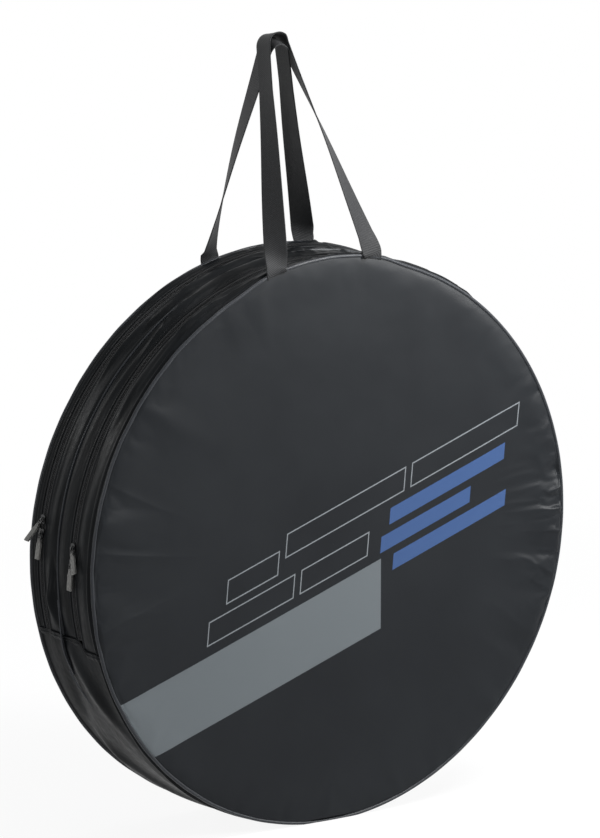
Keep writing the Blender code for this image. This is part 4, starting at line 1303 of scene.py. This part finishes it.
def leg_frames(side, leg, strap):
    """Give the middle points and the directions across of one leg and its half of the loop.

    A strap's turns are, for each leg, the share of it that turns the webbing, the power that this
    follows, and the length in millimetres over which it sets in."""
    angle = math.radians(strap["feet"][leg])
    pull = Vector((0, 0, HANDLE_PULL if side < 0 else 0.0))
    foot = at_rim(angle, BAG_RADIUS - 0.5 * MM, side * (HALF_DEPTH + 0.6 * MM)) + pull
    middle = Vector((LOOP_APEX.x, side * LOOP_APEX.y, strap["top"] - strap["radius"]))
    rise = Vector((0, middle.y - foot.y, middle.z - foot.z))
    upward = rise.normalized()
    level = Vector((0, upward.z, -upward.y)) * side * -leg
    reach = Vector((foot.x - middle.x, -rise.length))
    touch = math.pi - math.atan2(leg * reach.x, -reach.y) - math.acos(strap["radius"] / reach.length)
    path = middle + in_loop(leg, strap, touch, upward) - foot
    along = path.normalized()
    rim = Vector((math.cos(angle), 0, -math.sin(angle)))
    frames = [(at_rim(angle, radius, side * y) + pull, rim) for radius, y in TUCKED]
    frames.append((foot, square_to(along, rim)))
    full_turn, easing, twist = strap["turns"][leg]
    for place in np.linspace(CLEAR_OF_FOOT, path.length, 80):
        share = place / path.length
        ramp = min(max(place - FLAT_LENGTH, 0.0) / (twist * MM), 1.0)
        turn = math.pi / 2 * min(share / full_turn, 1.0) ** easing * ramp
        across = Vector((math.cos(turn), side * -leg * math.sin(turn), 0))
        bow = Vector((leg * strap["bow"][leg] * math.sin(math.pi * share ** 0.6), 0, 0))
        frames.append((foot + along * place + bow, square_to(along, across)))
    last = frames[-1][1]
    for step, turn in enumerate(np.linspace(touch, 0, 10)[1:]):
        across = last.lerp(level, min((step + 1) / 4, 1.0)).normalized()
        frames.append((middle + in_loop(leg, strap, turn, upward), across))
    return frames


print("straps rise to", [strap["top"] for strap in STRAPS.values()], "m")

# %% Weave the two straps
ACROSS = np.array([-1.0, -0.97, -0.9, -0.6, -0.2, 0.2, 0.6, 0.9, 0.97, 1.0])
EDGE_BEAD = np.array([0.55, 0.95, 1.0, 0.86, 0.84, 0.84, 0.86, 1.0, 0.95, 0.55])
HINGE_Y = 73.6 * MM
for side_name, strap in STRAPS.items():
    side = SIDES[side_name]
    left = leg_frames(side, -1, strap)
    right = [(point, -across) for point, across in reversed(leg_frames(side, 1, strap)[:-1])]
    middles = np.array([list(point) for point, _ in left + right])
    sideways = np.array([list(across) for _, across in left + right])
    signs = np.sign(np.sum(sideways[1:] * sideways[:-1], axis=1))
    sideways[1:] *= np.cumprod(np.where(signs == 0, 1, signs))[:, None]
    ahead = np.gradient(middles, axis=0)
    outward = np.cross(ahead, sideways)
    outward /= np.linalg.norm(outward, axis=1, keepdims=True)
    length = np.cumsum(np.linalg.norm(np.diff(middles, axis=0, prepend=middles[:1]), axis=1))
    near_ends = np.clip(length * (length[-1] - length) * 60, 0, 1)
    start = np.random.default_rng(61).uniform(0, 6.3)
    wander = 0.5 * MM * np.sin(length * 31 + start) * near_ends
    rows = []
    for face in (1, -1):
        lift = face * EDGE_BEAD[None, :, None] * WEBBING_THICKNESS / 2
        bow = 0.35 * MM * (1 - ACROSS ** 2)[None, :, None]
        row = middles[:, None] + sideways[:, None] * (ACROSS * WEBBING_WIDTH / 2)[None, :, None]
        row = row + outward[:, None] * (lift + bow + wander[:, None, None])
        rows.append(row if face > 0 else row[:, ::-1])
    points = np.concatenate([rows[0], rows[1], rows[0][:, :1]], axis=1)
    places = np.concatenate([ACROSS, -ACROSS + 2.1, [3.1]]) * WEBBING_WIDTH / 2
    flats = side_by_side(length[:, None], places[None, :])
    mesh = weld(sheet_mesh(f"{side_name}_webbing_handle", points, flats), 0.01 * MM, close=True)
    handle = add_piece(f"{side_name}_webbing_handle", mesh, narrow["webbing"])
    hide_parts(f"{side_name}_handle_strap")
    y = side * HINGE_Y
    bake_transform(handle)
    print(handle.name, "is", round(float(length[-1]), 3), "m long")

# %% [markdown]
# ## Stitching
#
# Beside each zip and along each hem the thread shows as a row of short raised stitches, one every
# 3.6 mm. Each one is a small bead laid on the cloth, turned the way that the row runs.

# %% Lay rows of stitches on the cloth
STITCH = 2.4 * MM
STITCH_STEP = 3.6 * MM
THREAD = 0.32 * MM
ZIP_STITCHES = 3.8 * MM
HEM_STITCHES = (1.3 * MM, 4.8 * MM)
HEM_ROW_HALF = 64 * MM
HEM_ROW_HEIGHT = 2.1 * MM


def stitch_row(line, normals):
    """Give beads that follow a line of points, as sections of four rings."""
    steps = np.linalg.norm(np.diff(line, axis=0), axis=1)
    length = np.concatenate([[0], np.cumsum(steps)])
    middles = np.arange(STITCH_STEP / 2, length[-1], STITCH_STEP)
    rings = []
    for share in (-1.0, -0.6, 0.6, 1.0):
        places = middles + share * STITCH / 2
        rings.append(np.stack([np.interp(places, length, line[:, axis]) for axis in range(3)], axis=-1))
    rings = np.stack(rings, axis=1)
    up = [np.interp(middles, length, normals[:, axis]) for axis in range(3)]
    up = np.stack(up, axis=-1)[:, None, :]
    ahead = rings[:, -1:] - rings[:, :1]
    ahead /= np.linalg.norm(ahead, axis=-1, keepdims=True)
    side = np.cross(ahead, up)
    size = np.array([0.35, 1.0, 1.0, 0.35])[None, :, None, None] * THREAD
    turns = (np.arange(4) * math.pi / 2)[None, None, :, None]
    spread = size * (np.cos(turns) * side[:, :, None, :] + np.sin(turns) * up[:, :, None, :])
    return rings[:, :, None, :] + up[:, :, None, :] * THREAD * 0.6 + spread


def sew(name, rows, body):
    """Join rows of stitches into one piece that goes with a body."""
    thread = add_piece(name, sections_mesh(name, np.concatenate(rows)), narrow["thread"])
    fit(thread, "gusset_cloth", body)
    print(name, sum(len(row) for row in rows), "stitches")


def rim_normals(line):
    """Give the directions straight out from the drum's axis."""
    out = line * [1, 0, 1] - [0, 0, CENTRE_Z]
    return out / np.linalg.norm(out, axis=1, keepdims=True)


for (name, (angles, across, _)), points in zip(tables.items(), strip_points):
    rows = []
    for end, kind in zip((0, -1), STRIPS[name]["kinds"]):
        if kind == "zipped":
            inward = np.abs(across[0] - across[0, end])
            column = int(np.argmin(np.abs(inward - ZIP_STITCHES)))
            line = points[2:-2, column].astype(float)
            rows.append(stitch_row(line, rim_normals(line)))
    if rows:
        sew(f"{name}_stitches", rows, body_of(name))

y = np.linspace(-HEM_ROW_HALF, HEM_ROW_HALF, 60)[:, None]
for name, sign in ENDS:
    rows = []
    for down in HEM_STITCHES:
        radii = CLOTH_RADIUS + HEM_ROW_HEIGHT * (1 - pressed_flat(y))
        line = on_rim(sign * (hem_angle(y) + down / BAG_RADIUS), radii, y)[:, 0]
        rows.append(stitch_row(line, rim_normals(line)))
    sew(f"{name}_hem_stitches", rows, "bag")

# %% [markdown]
# ## Studio
#
# A plain pale floor under six soft lamps: a key lamp close above the front, a low one at the right
# front, a large one overhead, one behind on the left, one far out to the left and one high at the
# right front. The background is white to the camera and in reflections, and otherwise a weak grey
# light. The floor near the bag keeps a tenth of its own shading, and so takes a faint shadow.

# %% Floor, world and lamps


def seen_share(tree):
    """Give 1 to the rays that an eye sees, straight or in a reflection, and 0 to the light's own."""
    path = add_node(tree, "ShaderNodeLightPath")
    mirrored = add_node(tree, "ShaderNodeMath", {"operation": "ADD"}, {
        0: path.outputs["Is Glossy Ray"], 1: path.outputs["Is Transmission Ray"],
    })
    return add_node(tree, "ShaderNodeMath", {"operation": "ADD", "use_clamp": True}, {
        0: path.outputs["Is Camera Ray"], 1: mirrored,
    }).outputs[0]


def pale_floor():
    """A matt floor that looks almost white to the camera and still takes a shadow."""
    made, tree, shader = start_material("pale studio floor", 0.9, ior=1.5)
    shader.inputs["Base Color"].default_value = to_linear("#f2f2f2")
    glow = add_node(tree, "ShaderNodeEmission", inputs={"Color": (1, 1, 1, 1), "Strength": 1.0})
    place = add_node(tree, "ShaderNodeTexCoord")
    away = add_node(tree, "ShaderNodeVectorMath", {"operation": "LENGTH"}, {0: place.outputs["Object"]})
    share = add_node(tree, "ShaderNodeMapRange", {"interpolation_type": "SMOOTHSTEP"}, {
        "Value": away.outputs["Value"], "From Min": 0.5, "From Max": 2.0, "To Min": 0.9, "To Max": 1.0,
    })
    seen = add_node(tree, "ShaderNodeMath", {"operation": "MULTIPLY"}, {
        0: seen_share(tree), 1: share,
    })
    mix = add_node(tree, "ShaderNodeMixShader", inputs={
        0: seen, 1: shader, 2: glow,
    })
    tree.links.new(mix.outputs[0], tree.nodes["Material Output"].inputs["Surface"])
    return made


floor_mesh = bpy.data.meshes.new("floor")
floor_mesh.from_pydata([(-40, -40, 0), (40, -40, 0), (40, 40, 0), (-40, 40, 0)], [], [(0, 1, 2, 3)])
floor = add_piece("floor", floor_mesh, pale_floor())
floor.location.z = -0.5 * MM

world = bpy.data.worlds.new("studio")
world.use_nodes = True
bpy.context.scene.world = world
sky = world.node_tree
soft = sky.nodes["Background"]
soft.inputs["Color"].default_value = to_linear("#d8dade")
soft.inputs["Strength"].default_value = 0.45
white = add_node(sky, "ShaderNodeBackground", inputs={"Color": (1, 1, 1, 1), "Strength": 1.0})
choice = add_node(sky, "ShaderNodeMixShader", inputs={
    0: seen_share(sky), 1: soft, 2: white,
})
sky.links.new(choice.outputs[0], sky.nodes["World Output"].inputs["Surface"])


def add_lamp(name, place, target, size, power):
    """Hang a square soft lamp that faces the bag."""
    light = bpy.data.lights.new(name, "AREA")
    light.size = size
    light.energy = power
    lamp = bpy.data.objects.new(name, light)
    bpy.context.scene.collection.objects.link(lamp)
    lamp.location = place
    lamp.visible_camera = False
    lamp.rotation_mode = "QUATERNION"
    lamp.rotation_quaternion = (Vector(target) - Vector(place)).to_track_quat("-Z", "Y")


LAMPS = {
    "lamp_key": ((0.42, -0.52, 1.32), (0.12, -0.07, 0.6), 0.5, 20),
    "lamp_low": ((1.25, -1.3, 0.9), (0.05, -0.07, 0.5), 0.5, 26),
    "lamp_above": ((0.0, 0.4, 3.2), (0, 0, 0.5), 2.0, 15),
    "lamp_behind": ((-1.7, 2.6, 1.5), (-0.2, 0, 0.4), 0.5, 16),
    "lamp_left": ((-3.0, -0.6, 1.2), (0, 0, 0.4), 0.3, 24),
    "lamp_front": ((2.0, -2.6, 2.1), (0, 0, 0.4), 0.35, 22),
}
for name, recipe in LAMPS.items():
    add_lamp(name, *recipe)
bpy.context.scene.view_settings.view_transform = "Standard"
print("studio lit by", len(LAMPS), "soft lamps")
